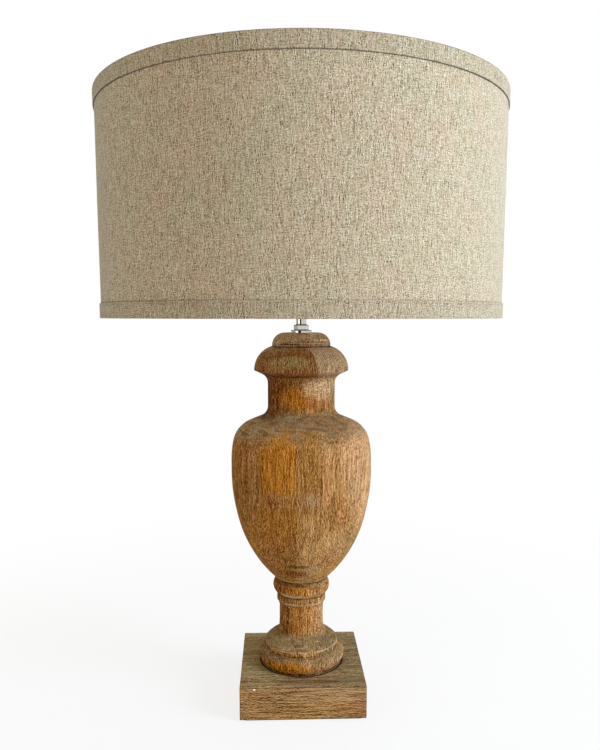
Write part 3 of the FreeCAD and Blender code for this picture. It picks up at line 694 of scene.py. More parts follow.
    def smears(self, shader: Shader, x: Sock, y: Sock, height: Sock) -> Sock:
        """Streaks that the rag left in the lime, round a column or along a plinth.

        Args:
            shader: the tree.
            x: place across the front.
            y: place in depth.
            height: height above the table.

        Returns:
            1 in a streak.
        """
        if self.grain is Grain.ACROSS:
            place = shader.join(x * 0.5, y, self.shift)
            return shader.noise(place, *self.block_rag_cells).ramp(*self.block_rag_break)
        around = x.math("ARCTAN2", y * -1.0) * 0.06
        place = shader.join(around * 0.2, height + around * 0.05, self.shift)
        return shader.noise(place, *self.rag_cells).ramp(*self.rag_break)

    def wash(self, upward: Sock, height: Sock, cloud: Sock) -> Sock:
        """Lime left on what faces up, and thinly all over above a height.

        Args:
            upward: how far the surface faces up.
            height: height above the table.
            cloud: noise that makes the wash uneven.

        Returns:
            How much of the wood it covers.
        """
        level = upward.ramp(*self.wash_facing) * cloud.ramp(*self.wash_break)
        thin = self.over_veil(height, 0.0, 1.0) * self.veil
        return level.math("MAXIMUM", thin * cloud.ramp(*self.veil_break))


@dataclass(frozen=True)
class SlubLinen:
    """Plain-weave natural linen with thick and dark threads, bonded round a drum.

    pitch is the distance from thread to thread in metres, warp, stub, weft and slubbed are the
    lengths of a thread's stretches, and shadow_lines holds height, reach and weight of each
    line of painted shadow. shade darkens the whole cloth.
    """

    name: str
    radius: float
    shift: float = 0.0
    shade: float = 1.0
    pitch: float = 0.0009
    warp: float = 0.0050
    stub: float = 0.0012
    weft: float = 0.0030
    slubbed: float = 0.021
    contrast: float = 1.35
    shadow_lines: tuple[tuple[float, float, float], ...] = ()
    uneven_cells: Cells = (330, 2, 0.6)
    cloud_cells: Cells = (24, 3, 0.6)
    tint_cells: Cells = (33, 2, 0.6)
    left_side: Ramp = (-0.22, -0.05, 1.35, 1.0)
    rim_calm: Ramp = (0.6, 0.95, 1.0, 0.5)
    tone_base: float = 0.72
    tone_rise: float = 0.40
    side_shadow: Ramp = (0.0, 0.8, 0.50, 1.0)
    rim_shadow: Ramp = (0.70, 0.96, 1.0, 0.0)
    warm_stain: Stain = (0.38, 0.62, 0.6)
    cool_stain: Stain = (0.48, 0.66, 0.35)
    warp_weight: float = 0.7
    stub_weight: float = 1.0
    weft_weight: float = 0.7
    uneven_weight: float = 0.8
    dark_weight: float = -0.60
    light_weight: float = 0.50
    speck_weight: float = 0.75
    slub_weight: float = 0.38
    slub_from: float = 0.60
    stub_from: float = 0.60
    weft_from: float = 0.1
    lying_from: float = 0.66
    relief: float = 0.0004
    relief_strength: float = 0.6
    thread: Colour = srgb(186, 167, 135)
    warm: Colour = srgb(194, 164, 136)
    cool: Colour = srgb(178, 167, 135)
    slub: Colour = srgb(84, 62, 38)
    # Dark of the gaps between threads, also the colour of the painted shadow lines
    gap_and_shadow: Colour = srgb(46, 24, 4)
    bleached: Colour = srgb(232, 226, 212)
    black: Colour = srgb(0, 0, 0)
    sheen: Colour = (0.70, 0.90, 1.0)

    def material(self) -> bpy.types.Material:
        """Build the linen's shader.

        Returns:
            The cloth's material.
        """
        shader = Shader(self.name)
        x, y, z = shader.split(shader.place())
        around = x.math("ARCTAN2", y * -1.0) * self.radius + self.shift
        level = z + self.shift
        warp = shader.dashes(around, 0.5, level, self.pitch, self.warp, 1.0)
        stub = shader.dashes(around, 0.5, level, self.pitch, self.stub, 4.0)
        weft = shader.dashes(level, 0.5, around, self.pitch, self.weft, 7.0)
        slub = shader.dashes(around, 0.5, level, self.pitch, self.slubbed, 11.0)
        uneven = shader.noise(shader.join(around, level * 0.25, 2.0), *self.uneven_cells)
        cloud = shader.noise(shader.join(around, level * 0.6, 4.0), *self.cloud_cells)
        tint = shader.noise(shader.join(around, level * 0.4, 8.0), *self.tint_cells)
        upward = shader.split(shader.node("ShaderNodeNewGeometry", output="Normal"))[2]
        tone = (warp * self.warp_weight + stub * self.stub_weight + weft * self.weft_weight
                + (uneven - 0.52) * self.uneven_weight) * self.contrast
        tone = tone * (x.ramp(*self.left_side) * self.tone_base + abs(tone) * self.tone_rise)
        tone = tone * upward.ramp(*self.rim_calm)
        speck = (stub > self.stub_from) * (weft > self.weft_from)
        thick = (weft > self.lying_from).math("MAXIMUM", slub > self.slub_from)

        base = shader.mix(stained(cloud, self.warm_stain), self.thread, self.warm)
        for share, colour in ((stained(tint, self.cool_stain), self.cool),
                              (tone.weighed(self.dark_weight), self.slub),
                              (tone.weighed(self.light_weight), self.bleached),
                              (speck * self.speck_weight, self.gap_and_shadow),
                              (thick * self.slub_weight, self.slub)):
            base = shader.mix(share, base, colour)
        aside = x * x / self.radius ** 2
        outer = aside.ramp(*self.side_shadow) * upward.ramp(*self.rim_shadow)
        # Painted shadow lines along the bindings' edges, stronger at the sides
        for height, reach, weight in self.shadow_lines:
            base = shader.mix(z.band(height, reach) * outer * weight, base, self.gap_and_shadow)
        base = shader.mix(1.0 - self.shade, base, self.black)
        return shader.surface(Base_Color=base, Roughness=0.9, Specular_IOR_Level=0.05,
                              Sheen_Weight=0.24, Sheen_Roughness=0.45, Sheen_Tint=self.sheen,
                              Normal=shader.bump(uneven, self.relief, self.relief_strength))


@dataclass(frozen=True)
class Plate:
    """Plated or bare metal, faintly brushed and handled.

    handling is the roughness that brushing and fingers add, dulled the share of its colour
    that a smudge leaves, and edges holds height and reach of each dark line of painted shade
    where stacked parts meet, in metres.
    """

    name: str
    colour: Colour
    roughness: float
    handling: float = 0.10
    edges: tuple[tuple[float, float], ...] = ()
    dulled: float = 0.82
    smudge: Stain = (0.4, 0.7, 0.5)
    edge_weight: float = 0.85
    brush_cells: Cells = (2600, 2, 0.6)
    smudge_cells: Cells = (90, 3, 0.6)
    relief: float = 0.00002
    relief_strength: float = 0.35
    # Colour of the painted shade lines
    painted_shade: Colour = srgb(18, 16, 14)

    def material(self) -> bpy.types.Material:
        """Build the metal's shader.

        Returns:
            The metal's material.
        """
        shader = Shader(self.name)
        x, y, z = shader.split(shader.place())
        brushed = shader.noise(shader.join(x * 0.15, y * 0.15, z), *self.brush_cells)
        smudge = shader.noise(shader.place(), *self.smudge_cells)
        dull = tuple(level * self.dulled for level in self.colour)
        base = shader.mix(stained(smudge, self.smudge), self.colour, dull)
        # Painted shade: dark lines where stacked parts meet
        for height, reach in self.edges:
            base = shader.mix(z.band(height, reach) * self.edge_weight, base, self.painted_shade)
        rough = self.roughness + (brushed + smudge.ramp(0.45, 0.75)) * self.handling
        return shader.surface(Base_Color=base, Metallic=1.0, Roughness=rough,
                              Normal=shader.bump(brushed, self.relief, self.relief_strength))


@dataclass(frozen=True)
class Moulding:
    """Moulded plastic, fibre or coated glass with a fine orange peel.

    grain is how many cells of the peel lie on a metre, and depth their depth in metres.
    """

    name: str
    colour: Colour
    second: Colour
    roughness: float
    grain: float = 900.0
    depth: float = 0.00003
    coat: float = 0.0
    cloud_cells: Cells = (60, 3, 0.6)
    roughness_change: float = 0.08

    def material(self) -> bpy.types.Material:
        """Build the moulding's shader.

        Returns:
            The moulding's material.
        """
        shader = Shader(self.name)
        place = shader.place()
        cloud = shader.noise(place, *self.cloud_cells)
        peel = shader.noise(place, self.grain, 2, 0.5)
        base = shader.mix(cloud.ramp(0.35, 0.7), self.colour, self.second)
        return shader.surface(Base_Color=base,
                              Roughness=self.roughness + self.roughness_change * peel,
                              Coat_Weight=self.coat, Normal=shader.bump(peel, self.depth, 0.6))


@dataclass(frozen=True)
class Felt:
    """Pressed wool felt."""

    name: str
    colour: Colour = srgb(38, 58, 44)
    fuzz: Colour = srgb(74, 96, 78)
    hair_cells: Cells = (1400, 4, 0.7)
    hair_bend: float = 1.5
    hair_depth: float = 0.0004
    cloud_cells: Cells = (140, 2, 0.5)

    def material(self) -> bpy.types.Material:
        """Build the felt's shader.

        Returns:
            The felt's material.
        """
        shader = Shader(self.name)
        place = shader.place()
        hair = shader.noise(place, *self.hair_cells, self.hair_bend)
        cloud = shader.noise(place, *self.cloud_cells)
        base = shader.mix(hair.ramp(0.4, 0.75), self.colour, self.fuzz)
        base = shader.mix(cloud * 0.3, base, self.colour)
        return shader.surface(Base_Color=base, Roughness=0.96, Specular_IOR_Level=0.1,
                              Normal=shader.bump(hair, self.hair_depth, 0.8))


# Painted shade at the joints: check ring to nut and nut to neck tube
NICKEL = Plate("polished_nickel", srgb(210, 205, 196), 0.03, 0.03,
               edges=((0.4323, 0.0015), (0.4383, 0.0018)))
ZINC = Plate("zinc_plate", srgb(168, 170, 172), 0.34)
BRASS = Plate("plain_brass", srgb(196, 158, 88), 0.28)
BULB_METAL = Plate("bulb_aluminium", srgb(205, 205, 206), 0.24)
SOLDER = Plate("solder", srgb(176, 176, 174), 0.38)
BLACK = Moulding("black_moulding", srgb(24, 24, 24), srgb(34, 33, 32), 0.42)
PHENOLIC = Moulding("brown_phenolic", srgb(38, 26, 20), srgb(52, 36, 28), 0.30)
FIBRE = Moulding("fibre_liner", srgb(146, 120, 86), srgb(164, 138, 102), 0.80, 500.0, 0.0001)
DARK_GLASS = Moulding("dark_glass", srgb(18, 18, 22), srgb(26, 26, 30), 0.16)
OPAL = Moulding("opal_glass", srgb(222, 221, 216), srgb(227, 226, 221), 0.24, 300.0, 0.00001,
                coat=0.3)
LINING = Moulding("white_lining", srgb(228, 224, 212), srgb(225, 220, 207), 0.62, 700.0, 0.00006)
FELT = Felt("green_felt")
STRAIGHT_SEAM = Seam(low=0.0, high=0.0, lip=0.0)
AMBER = srgb(174, 106, 8)
RUST = srgb(102, 46, 4)
WALNUT = srgb(108, 64, 22)


class Section:
    """Half section of a turned piece, radius and height in metres, drawn edge by edge.

    Points nearer than same are one, an arc that turns by less than straight is a straight edge,
    bow_step is an arc's widest step in radians, and spare is the share of an edge that a rounding
    may take.
    """

    same: float = 1e-7
    straight: float = 1e-6
    bow_step: float = 0.05
    spare: float = 0.98

    def __init__(self, radius: float, height: float, step: float = 0.0016) -> None:
        """Start at a point.

        Args:
            radius: distance from the lamp's axis.
            height: height above the table.
            step: longest edge of the mesh along the section.
        """
        self.at = Vector((radius, height))
        self.points = [self.at.copy()]
        self.heading = Vector((0.0, 1.0))
        self.step = step

    def line(self, radius: float, height: float) -> "Section":
        """Add a straight edge.

        Args:
            radius: where it ends, from the axis.
            height: the height at which it ends.

        Returns:
            This section.
        """
        end = Vector((radius, height))
        count = max(1, math.ceil((end - self.at).length / self.step))
        start = self.at
        self.points += [start.lerp(end, index / count) for index in range(1, count + 1)]
        self.heading = (end - start).normalized()
        self.at = end
        return self

    def leave(self, degrees: float) -> "Section":
        """Set the direction of the next flowing arc.

        Args:
            degrees: its angle from outwards towards up.

        Returns:
            This section.
        """
        angle = math.radians(degrees)
        self.heading = Vector((math.cos(angle), math.sin(angle)))
        return self

    def flow(self, radius: float, height: float) -> "Section":
        """Add the arc that carries on smoothly from the edge before it.

        Args:
            radius: where it ends, from the axis.
            height: the height at which it ends.

        Returns:
            This section.
        """
        end = Vector((radius, height))
        chord = end - self.at
        half = math.atan2(self.heading.cross(chord), self.heading.dot(chord))
        return self.arc(end, half)

    def bulge(self, radius: float, height: float, rise: float) -> "Section":
        """Add an arc that stands out to the right of its chord.

        Args:
            radius: where it ends, from the axis.
            height: the height at which it ends.
            rise: how far it stands out.

        Returns:
            This section.
        """
        end = Vector((radius, height))
        return self.arc(end, 2 * math.atan2(2 * rise, (end - self.at).length))

    def arc(self, end: Vector, half: float) -> "Section":
        """Add an arc.

        Args:
            end: where it ends.
            half: half of the angle by which it turns, positive to the left.

        Returns:
            This section.
        """
        start = self.at
        chord = end - start
        if abs(half) < self.straight:
            return self.line(end.x, end.y)
        bow = chord.length * half / math.sin(half)
        count = max(2, math.ceil(bow / self.step), math.ceil(abs(half) / self.bow_step))
        centre = (start + end) / 2 + Vector((-chord.y, chord.x)) / (2 * math.tan(half))
        spoke = start - centre
        for index in range(1, count + 1):
            self.points.append(centre + turned(spoke, 2 * half * index / count))
        self.heading = turned(chord.normalized(), half)
        self.at = end
        return self

    def corner(self, radius: float, height: float, rounding: float,
               onward: tuple[float, float]) -> "Section":
        """Add a straight edge, a rounded corner and the straight edge after it.

        Args:
            radius: the corner's radius from the axis.
            height: the corner's height.
            rounding: radius of the rounding.
            onward: the point after the corner.

        Returns:
            This section.
        """
        tip = Vector((radius, height))
        end = Vector(onward)
        before = (self.at - tip).normalized()
        after = (end - tip).normalized()
        half = before.angle(after) / 2
        reach = min(rounding / math.tan(half), self.spare * (self.at - tip).length,
                    self.spare * (end - tip).length)
        first = tip + before * reach
        last = tip + after * reach
        return self.line(first.x, first.y).flow(last.x, last.y).line(end.x, end.y)

    def spun(self, name: str, around: int, relief: Relief | None = None,
             sharp: float = 42.0) -> bpy.types.Object:
        """Revolve the section into a closed mesh.

        Args:
            name: the piece's name.
            around: how many steps the circle has.
            relief: metres to add to the radius at a radius, height and angle.
            sharp: degrees from which an edge stays sharp.

        Returns:
            The new object.
        """
        points = self.points[:1]
        for before, point in zip(self.points, self.points[1:]):
            if (point - before).length > self.same:
                points.append(point)
        if (points[0] - points[-1]).length < self.same:
            points.pop()
        vertices, rows = [], []
        for point in points:
            on_axis = point.x < self.same
            count = 1 if on_axis else around
            rows.append((len(vertices), count))
            for index in range(count):
                angle = FULL_TURN * index / around
                radius = point.x
                if relief and not on_axis:
                    radius += relief(point.x, point.y, angle)
                vertices.append((radius * math.sin(angle), -radius * math.cos(angle), point.y))
        closed = rows[0][1] > 1 or rows[-1][1] > 1
        faces = []
        for (low, low_count), (high, high_count) in zip(rows, rows[1:] + rows[:closed]):
            for index in range(around):
                ahead = (index + 1) % around
                loop = [low + index % low_count, low + ahead % low_count,
                        high + ahead % high_count, high + index % high_count]
                loop = list(dict.fromkeys(loop))
                if len(loop) > 2:
                    faces.append(loop)
        return mesh_object(name, vertices, faces, sharp)


def turned(arm: Vector, angle: float) -> Vector:
    """A flat vector turned to the left by an angle in radians."""
    return Vector((arm.x * math.cos(angle) - arm.y * math.sin(angle),
                   arm.x * math.sin(angle) + arm.y * math.cos(angle)))


def mesh_object(name: str, vertices: Sequence, faces: Sequence,
                sharp: float = 42.0) -> bpy.types.Object:
    """Make a smooth-shaded object.

    Args:
        name: the piece's name.
        vertices: its points, in metres.
        faces: loops of point numbers.
        sharp: degrees from which an edge stays sharp.

    Returns:
        The new object.
    """
    mesh = bpy.data.meshes.new(name)
    mesh.from_pydata([tuple(point) for point in vertices], [], faces)
    mesh.validate()
    mesh.shade_smooth()
    mesh.set_sharp_from_angle(angle=math.radians(sharp))
    made = bpy.data.objects.new(name, mesh)
    bpy.context.scene.collection.objects.link(made)
    return made


def place_piece(piece: bpy.types.Object, body: str, slot: str, finish: bpy.types.Material,
                *nodes: str) -> bpy.types.Object:
    """Tie a new piece to its body, finish and the nodes that it stands for.

    Args:
        piece: the new object.
        body: the body that it rides on.
        slot: the record's material slot, which is not used.
        finish: its material.
        nodes: nodes that it replaces.

    Returns:
        The piece.
    """
    piece.data.materials.clear()
    piece.data.materials.append(finish)
    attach(piece, body)
    if nodes:
        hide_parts(*nodes)
    LOG.info("piece %s rides %s", piece.name, body)
    return piece


def dress(finish: "Plate | Moulding | Felt", *nodes: str) -> None:
    """Give carried-over nodes a finish.

    Args:
        finish: the finish, built once for all of them.
        nodes: names of the nodes.
    """
    material = finish.material()
    for name in nodes:
        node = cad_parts[name]
        node.data.materials.clear()
        node.data.materials.append(material)
        LOG.info("node %s is %s", name, finish.name)


@dataclass
class Column:
    """Turned column: pedestal, urn and cap. All sizes are in metres.

    A pair holds a radius and how far above the last joint it lies.
    """

    bore: float = 0.0056
    plinth_top: float = 0.0395
    shadow_fillet: tuple[float, float] = (0.047, 0.003)
    torus_under: float = 0.0484
    torus_swell: float = 0.0004
    torus: tuple[float, float] = (0.0509, 0.0065)
    torus_top: tuple[float, float] = (0.0435, 0.016)
    band: tuple[float, float] = (0.0424, 0.0072)
    band_round: float = 0.0026
    foot_rise: float = 0.0135
    foot_round: float = 0.009
    slope_break: float = 0.3
    foot_lead: float = 0.18
    stem_foot: float = 0.0265
    stem_waist: float = 0.02575
    stem_flare: float = 0.010
    stem_rise: float = 0.0155
    ring: float = 0.02875
    ring_cove: float = 0.0091
    ring_rise: float = 0.0082
    ring_ease: float = 0.0004
    ring_round: float = 0.0006
    bead_root: float = 0.028
    bead: float = 0.03335
    bead_half: float = 0.0096
    urn_foot: float = 0.0311
    urn_step: float = 0.0008
    belly_angle: float = 42.5
    belly_low: tuple[float, float] = (0.0725, 0.0666)
    belly: tuple[float, float] = (0.0818, 0.1313)
    belly_band: float = 0.010
    belly_high: tuple[float, float] = (0.0794, 0.0224)
    shoulder: tuple[float, float] = (0.0623, 0.0435)
    neck: float = 0.0391
    neck_corner_rise: float = 0.0098
    neck_round: float = 0.013
    neck_rise: float = 0.0426
    under_bell_round: float = 0.012
    bell: float = 0.0549
    bell_inset: float = 0.001
    bell_under: float = 0.0071
    bell_lip: float = 0.0015
    lip_ease: float = 0.0003
    lip_round: float = 0.0005
    bell_swell: float = 0.0053
    bell_top: float = 0.035
    bell_rise: float = 0.028
    bun: float = 0.034
    bun_step: float = 0.0012
    bun_rise: float = 0.0158
    bun_round: float = 0.0142
    around: int = 200
    wander: tuple[float, float] = (26.0, 0.00022)
    tool_ripple: tuple[float, float, float] = (8.0, 420.0, 0.00005)
    sanded: float = 0.00012
    mark_height: float = 0.0668
    mark_reach: float = 0.0006
    mark_turn: float = -0.22
    mark_spread: float = 0.22
    mark_depth: float = 0.0007

    def __post_init__(self) -> None:
        """Work out the heights of the joints between the pieces."""
        self.ring_base = (self.plinth_top + self.shadow_fillet[1] + self.torus_top[1]
                          + self.band[1] + self.foot_rise + self.stem_flare + self.stem_rise
                          + self.ring_cove)
        self.bead_base = self.ring_base + self.ring_rise
        self.pedestal_top = self.bead_base + 2 * self.bead_half
        self.shoulder_base = self.pedestal_top + self.belly[1] + self.belly_band
        self.neck_corner = self.shoulder_base + self.shoulder[1] + self.neck_corner_rise
        self.under_bell = self.neck_corner + self.neck_rise
        self.lip = self.under_bell + self.bell_under
        self.urn_top = self.lip + self.bell_rise
        self.top = self.urn_top + self.bun_rise

    def hand(self, radius: float, height: float, angle: float) -> float:
        """Unevenness that the lathe and the sanding left.

        Args:
            radius: distance from the axis.
            height: height above the table.
            angle: angle round the axis from the front.

        Returns:
            Metres to add to the radius.
        """
        at = Vector((radius * math.sin(angle), -radius * math.cos(angle), height))
        aside, up, depth = self.tool_ripple
        slow = noise.noise(at * self.wander[0]) * self.wander[1]
        ripple = noise.noise(Vector((at.x * aside, at.y * aside, height * up))) * depth
        return slow + ripple - self.sanded

    def scored(self, radius: float, height: float, angle: float) -> float:
        """Unevenness of the pedestal, with a short tool mark on its foot.

        Args:
            radius: distance from the axis.
            height: height above the table.
            angle: angle round the axis from the front.

        Returns:
            Metres to add to the radius.
        """
        turn = (angle + math.pi) % FULL_TURN - math.pi
        mark = (math.exp(-((height - self.mark_height) / self.mark_reach) ** 2)
                * math.exp(-((turn - self.mark_turn) / self.mark_spread) ** 4))
        return self.hand(radius, height, angle) - self.mark_depth * mark

    def pedestal(self) -> bpy.types.Object:
        """Turn the foot, stem, ring and bead.

        Returns:
            The pedestal.
        """
        level = self.plinth_top
        shape = Section(self.bore, level)
        shape.line(self.shadow_fillet[0], level)
        level += self.shadow_fillet[1]
        shape.line(self.shadow_fillet[0], level).line(self.torus_under, level)
        shape.bulge(self.torus[0], level + self.torus[1], self.torus_swell)
        level += self.torus_top[1]
        shape.leave(90).flow(self.torus_top[0], level)
        level += self.band[1]
        foot_top = level + self.foot_rise
        slope = (self.slope_break * self.stem_foot + (1 - self.slope_break) * self.band[0],
                 level + self.slope_break * self.foot_rise)
        shape.corner(self.band[0], level, self.band_round, slope)
        stem_base = foot_top + self.stem_flare
        shape.corner(self.stem_foot, foot_top - self.foot_lead * self.foot_rise, self.foot_round,
                     (self.stem_waist, stem_base))
        shape.line(self.stem_waist, stem_base + self.stem_rise).flow(self.ring, self.ring_base)
        shape.corner(self.ring, self.bead_base - self.ring_ease, self.ring_round,
                     (self.bead_root, self.bead_base))
        shape.bulge(self.bead_root, self.pedestal_top, self.bead - self.bead_root)
        shape.line(self.bore, self.pedestal_top)
        return shape.spun("pedestal_turned", self.around, self.scored)

    def urn(self) -> bpy.types.Object:
        """Turn the belly, shoulder, neck and bell.

        Returns:
            The urn.
        """
        base = self.pedestal_top
        shape = Section(self.bore, base)
        shape.line(self.urn_foot - self.urn_step, base).line(self.urn_foot, base + self.urn_step)
        shape.leave(self.belly_angle).flow(self.belly_low[0], base + self.belly_low[1])
        shape.flow(self.belly[0], base + self.belly[1]).line(self.belly[0], self.shoulder_base)
        shape.flow(self.belly_high[0], self.shoulder_base + self.belly_high[1])
        shape.flow(self.shoulder[0], self.shoulder_base + self.shoulder[1])
        shape.corner(self.neck, self.neck_corner, self.neck_round,
                     (self.neck, self.neck_corner + self.neck_rise / 2))
        shape.corner(self.neck, self.under_bell, self.under_bell_round,
                     (self.bell - self.bell_inset, self.lip))
        shape.corner(self.bell, self.lip + self.lip_ease, self.lip_round,
                     (self.bell, self.lip + self.bell_lip))
        shape.bulge(self.bell_top, self.urn_top, self.bell_swell)
        shape.line(self.bore, self.urn_top)
        return shape.spun("urn_turned", self.around, self.hand)

    def cap(self) -> bpy.types.Object:
        """Turn the flattened bun on top.

        Returns:
            The cap.
        """
        shape = Section(self.bore, self.urn_top)
        shape.line(self.bun - self.bun_step, self.urn_top)
        shape.flow(self.bun, self.urn_top + self.bun_step)
        shape.corner(self.bun, self.top, self.bun_round, (self.bore, self.top))
        return shape.spun("cap_turned", self.around, self.hand)

    def pedestal_wood(self) -> LimedWood:
        """Finish of the pedestal.

        Returns:
            The wood, with the stains, painted shade and painted light of this piece.
        """
        patches = (
            Patch((-0.010, -0.030, 0.1320), (0.026, 0.03, 0.0090), AMBER, 0.7),
            Patch((-0.017, -0.045, 0.0480), (0.026, 0.03, 0.0075), AMBER, 0.85),
            Patch((0.000, -0.026, 0.0980), (0.018, 0.02, 0.0200), AMBER, 0.4),
            Patch((-0.024, -0.014, 0.1000), (0.012, 0.03, 0.0400), WALNUT, 0.7),
            Patch((-0.022, -0.020, 0.1405), (0.018, 0.03, 0.0070), WALNUT, 0.7),
            Patch((-0.036, -0.030, 0.0700), (0.020, 0.03, 0.0085), srgb(158, 138, 100), 0.7),
            Patch((0.030, -0.030, 0.0700), (0.018, 0.03, 0.0140), srgb(112, 94, 68), 0.85),
            Patch((0.022, -0.020, 0.0960), (0.008, 0.03, 0.0220), srgb(190, 150, 108), 0.5),
            Patch((0.036, -0.036, 0.0520), (0.018, 0.03, 0.0120), srgb(136, 108, 80), 0.7))
        scuffs = (
            Patch((0.000, -0.028, 0.1235), (0.030, 0.03, 0.0060), srgb(214, 188, 150), 0.8),
            Patch((0.000, -0.030, 0.1370), (0.030, 0.03, 0.0050), srgb(56, 28, 8), 0.8),
            Patch((-0.006, -0.028, 0.1180), (0.026, 0.03, 0.0050), srgb(56, 28, 8), 0.8),
            Patch((-0.006, -0.036, 0.0700), (0.030, 0.03, 0.0080), srgb(190, 160, 112), 0.7))
        # Painted shade where the foot stands on the plinth, above the torus, under the bead and
        # under the urn
        creases = ((0.0404, 0.0016, 1.0), (0.0595, 0.0010, 0.7),
                   (self.bead_base - self.ring_ease, 0.0012, 0.6),
                   (self.pedestal_top, 0.0016, 1.0))
        worn = ((0.0640, 0.0012), (self.bead_base + 0.0030, 0.0026),
                (self.ring_base + 0.0006, 0.0018))
        return LimedWood("limed_stem", seam=STRAIGHT_SEAM, shift=0.21, brown=srgb(140, 92, 38),
                         # The second lime tone below, on surfaces that face left, is painted light
                         pale=srgb(188, 144, 98), left_side_lime=srgb(136, 120, 92), contrast=3.5,
                         patches=patches, scuffs=scuffs, creases=creases, worn=worn)

    def urn_wood(self) -> LimedWood:
        """Finish of the urn.

        Returns:
            The wood, with the stains, painted shade and painted light of this piece.
        """
        left, right = Stave.LEFT, Stave.RIGHT
        belly = (
            Patch((-0.022, -0.075, 0.2870), (0.027, 0.04, 0.0360), AMBER, 0.78, left),
            Patch((-0.029, -0.070, 0.2220), (0.028, 0.05, 0.0240), srgb(154, 98, 28), 0.7),
            Patch((-0.031, -0.070, 0.2500), (0.014, 0.05, 0.0080), srgb(150, 98, 62), 0.5),
            Patch((-0.064, -0.030, 0.2600), (0.006, 0.05, 0.0700), srgb(122, 76, 30), 0.6),
            Patch((-0.054, -0.050, 0.2700), (0.006, 0.05, 0.0500), srgb(152, 106, 72), 0.5),
            Patch((0.006, -0.080, 0.2850), (0.015, 0.04, 0.0450), srgb(138, 90, 30), 0.85, right),
            Patch((0.044, -0.060, 0.2400), (0.006, 0.05, 0.0300), srgb(158, 100, 50), 0.35),
            Patch((0.046, -0.040, 0.1950), (0.020, 0.04, 0.0220), srgb(150, 118, 78), 0.5),
            Patch((0.072, -0.030, 0.2750), (0.034, 0.07, 0.0600), srgb(192, 152, 120), 0.4),
            Patch((0.008, -0.080, 0.2515), (0.009, 0.03, 0.0080), srgb(174, 148, 114), 0.5),
            Patch((0.009, -0.045, 0.1660), (0.009, 0.03, 0.0070), srgb(172, 138, 100), 0.7),
            Patch((-0.012, -0.045, 0.1580), (0.016, 0.03, 0.0055), srgb(112, 54, 8), 0.85),
            Patch((-0.006, -0.050, 0.1690), (0.013, 0.03, 0.0021), srgb(88, 48, 14), 0.9))
        neck = (
            Patch((-0.036, -0.014, 0.3640), (0.024, 0.04, 0.0360), RUST, 1.0, left),
            Patch((-0.040, -0.004, 0.3600), (0.010, 0.03, 0.0340), srgb(70, 34, 8), 0.6),
            Patch((0.000, -0.036, 0.3860), (0.036, 0.03, 0.0060), srgb(118, 60, 22), 0.7),
            Patch((-0.006, -0.038, 0.3560), (0.021, 0.02, 0.0115), srgb(168, 100, 12), 0.9),
            Patch((0.000, -0.038, 0.3790), (0.026, 0.02, 0.0080), srgb(122, 72, 28), 0.8),
            Patch((0.022, -0.032, 0.3680), (0.020, 0.03, 0.0140), srgb(198, 164, 124), 0.6),
            Patch((0.018, -0.036, 0.3490), (0.016, 0.02, 0.0070), srgb(150, 84, 34), 0.6))
        bell = (
            Patch((-0.020, -0.044, 0.4020), (0.042, 0.04, 0.0140), srgb(112, 66, 26), 0.85, left),
            Patch((-0.019, -0.046, 0.3970), (0.024, 0.04, 0.0066), srgb(142, 120, 76), 0.90, left),
            Patch((0.040, -0.030, 0.4000), (0.050, 0.07, 0.0220), srgb(176, 150, 120), 0.7, right))
        scuffs = (
            Patch((0.018, -0.034, 0.3700), (0.020, 0.03, 0.0180), srgb(226, 198, 166), 0.9),
            Patch((-0.004, -0.038, 0.3810), (0.030, 0.03, 0.0080), srgb(58, 26, 6), 0.85),
            Patch((0.004, -0.080, 0.2680), (0.034, 0.04, 0.0400), srgb(200, 160, 108), 0.35),
            Patch((-0.016, -0.070, 0.1950), (0.030, 0.04, 0.0300), RUST, 0.6))
        # Painted shade where the urn sits on the pedestal, under the bell's lip and under the cap
        creases = ((self.pedestal_top, 0.0014, 1.0), (self.lip - 0.0048, 0.0030, 0.65),
                   (self.urn_top, 0.0012, 0.8))
        return LimedWood("limed_urn", veil=0.40, veil_from=0.386, lime=srgb(108, 93, 70),
                         patches=belly + neck + bell, scuffs=scuffs, creases=creases,
                         worn=((self.pedestal_top + 0.0022, 0.0012),))

    def cap_wood(self) -> LimedWood:
        """Finish of the cap.

        Returns:
            The wood, with the stains, painted shade and painted light of this piece.
        """
        patches = (
            Patch((-0.014, -0.020, 0.4260), (0.018, 0.03, 0.0100), srgb(152, 122, 92), 0.75),
            Patch((-0.022, -0.020, 0.4200), (0.018, 0.03, 0.0120), srgb(160, 134, 106), 0.75),
            Patch((-0.015, -0.030, 0.4172), (0.014, 0.03, 0.0014), srgb(78, 38, 16), 1.0),
            Patch((0.020, -0.020, 0.4225), (0.013, 0.03, 0.0090), srgb(158, 126, 96), 0.7),
            Patch((0.006, -0.030, 0.4175), (0.012, 0.03, 0.0030), srgb(132, 84, 48), 0.6),
            Patch((0.023, -0.020, 0.4212), (0.012, 0.03, 0.0009), srgb(224, 196, 166), 0.9))
        return LimedWood("limed_cap", seam=STRAIGHT_SEAM, shift=0.52, veil=0.75, veil_from=0.3,
                         # The second lime tone below, on surfaces that face left, is painted light
                         contrast=2.8, lime=srgb(192, 170, 146), left_side_lime=srgb(168, 143, 114),
                         brown=srgb(166, 126, 80), patches=patches,
                         # Painted shade where the cap sits on the urn
                         creases=((self.urn_top, 0.0014, 0.8),),
                         worn=((self.urn_top + 0.0042, 0.0010),))

    def build(self) -> None:
        """Make and dress the three turned pieces."""
        for piece, finish, node in ((self.pedestal(), self.pedestal_wood(), "pedestal"),
                                    (self.urn(), self.urn_wood(), "urn"),
                                    (self.cap(), self.cap_wood(), "top_cap")):
            place_piece(piece, "root", "wood", finish.material(), node)


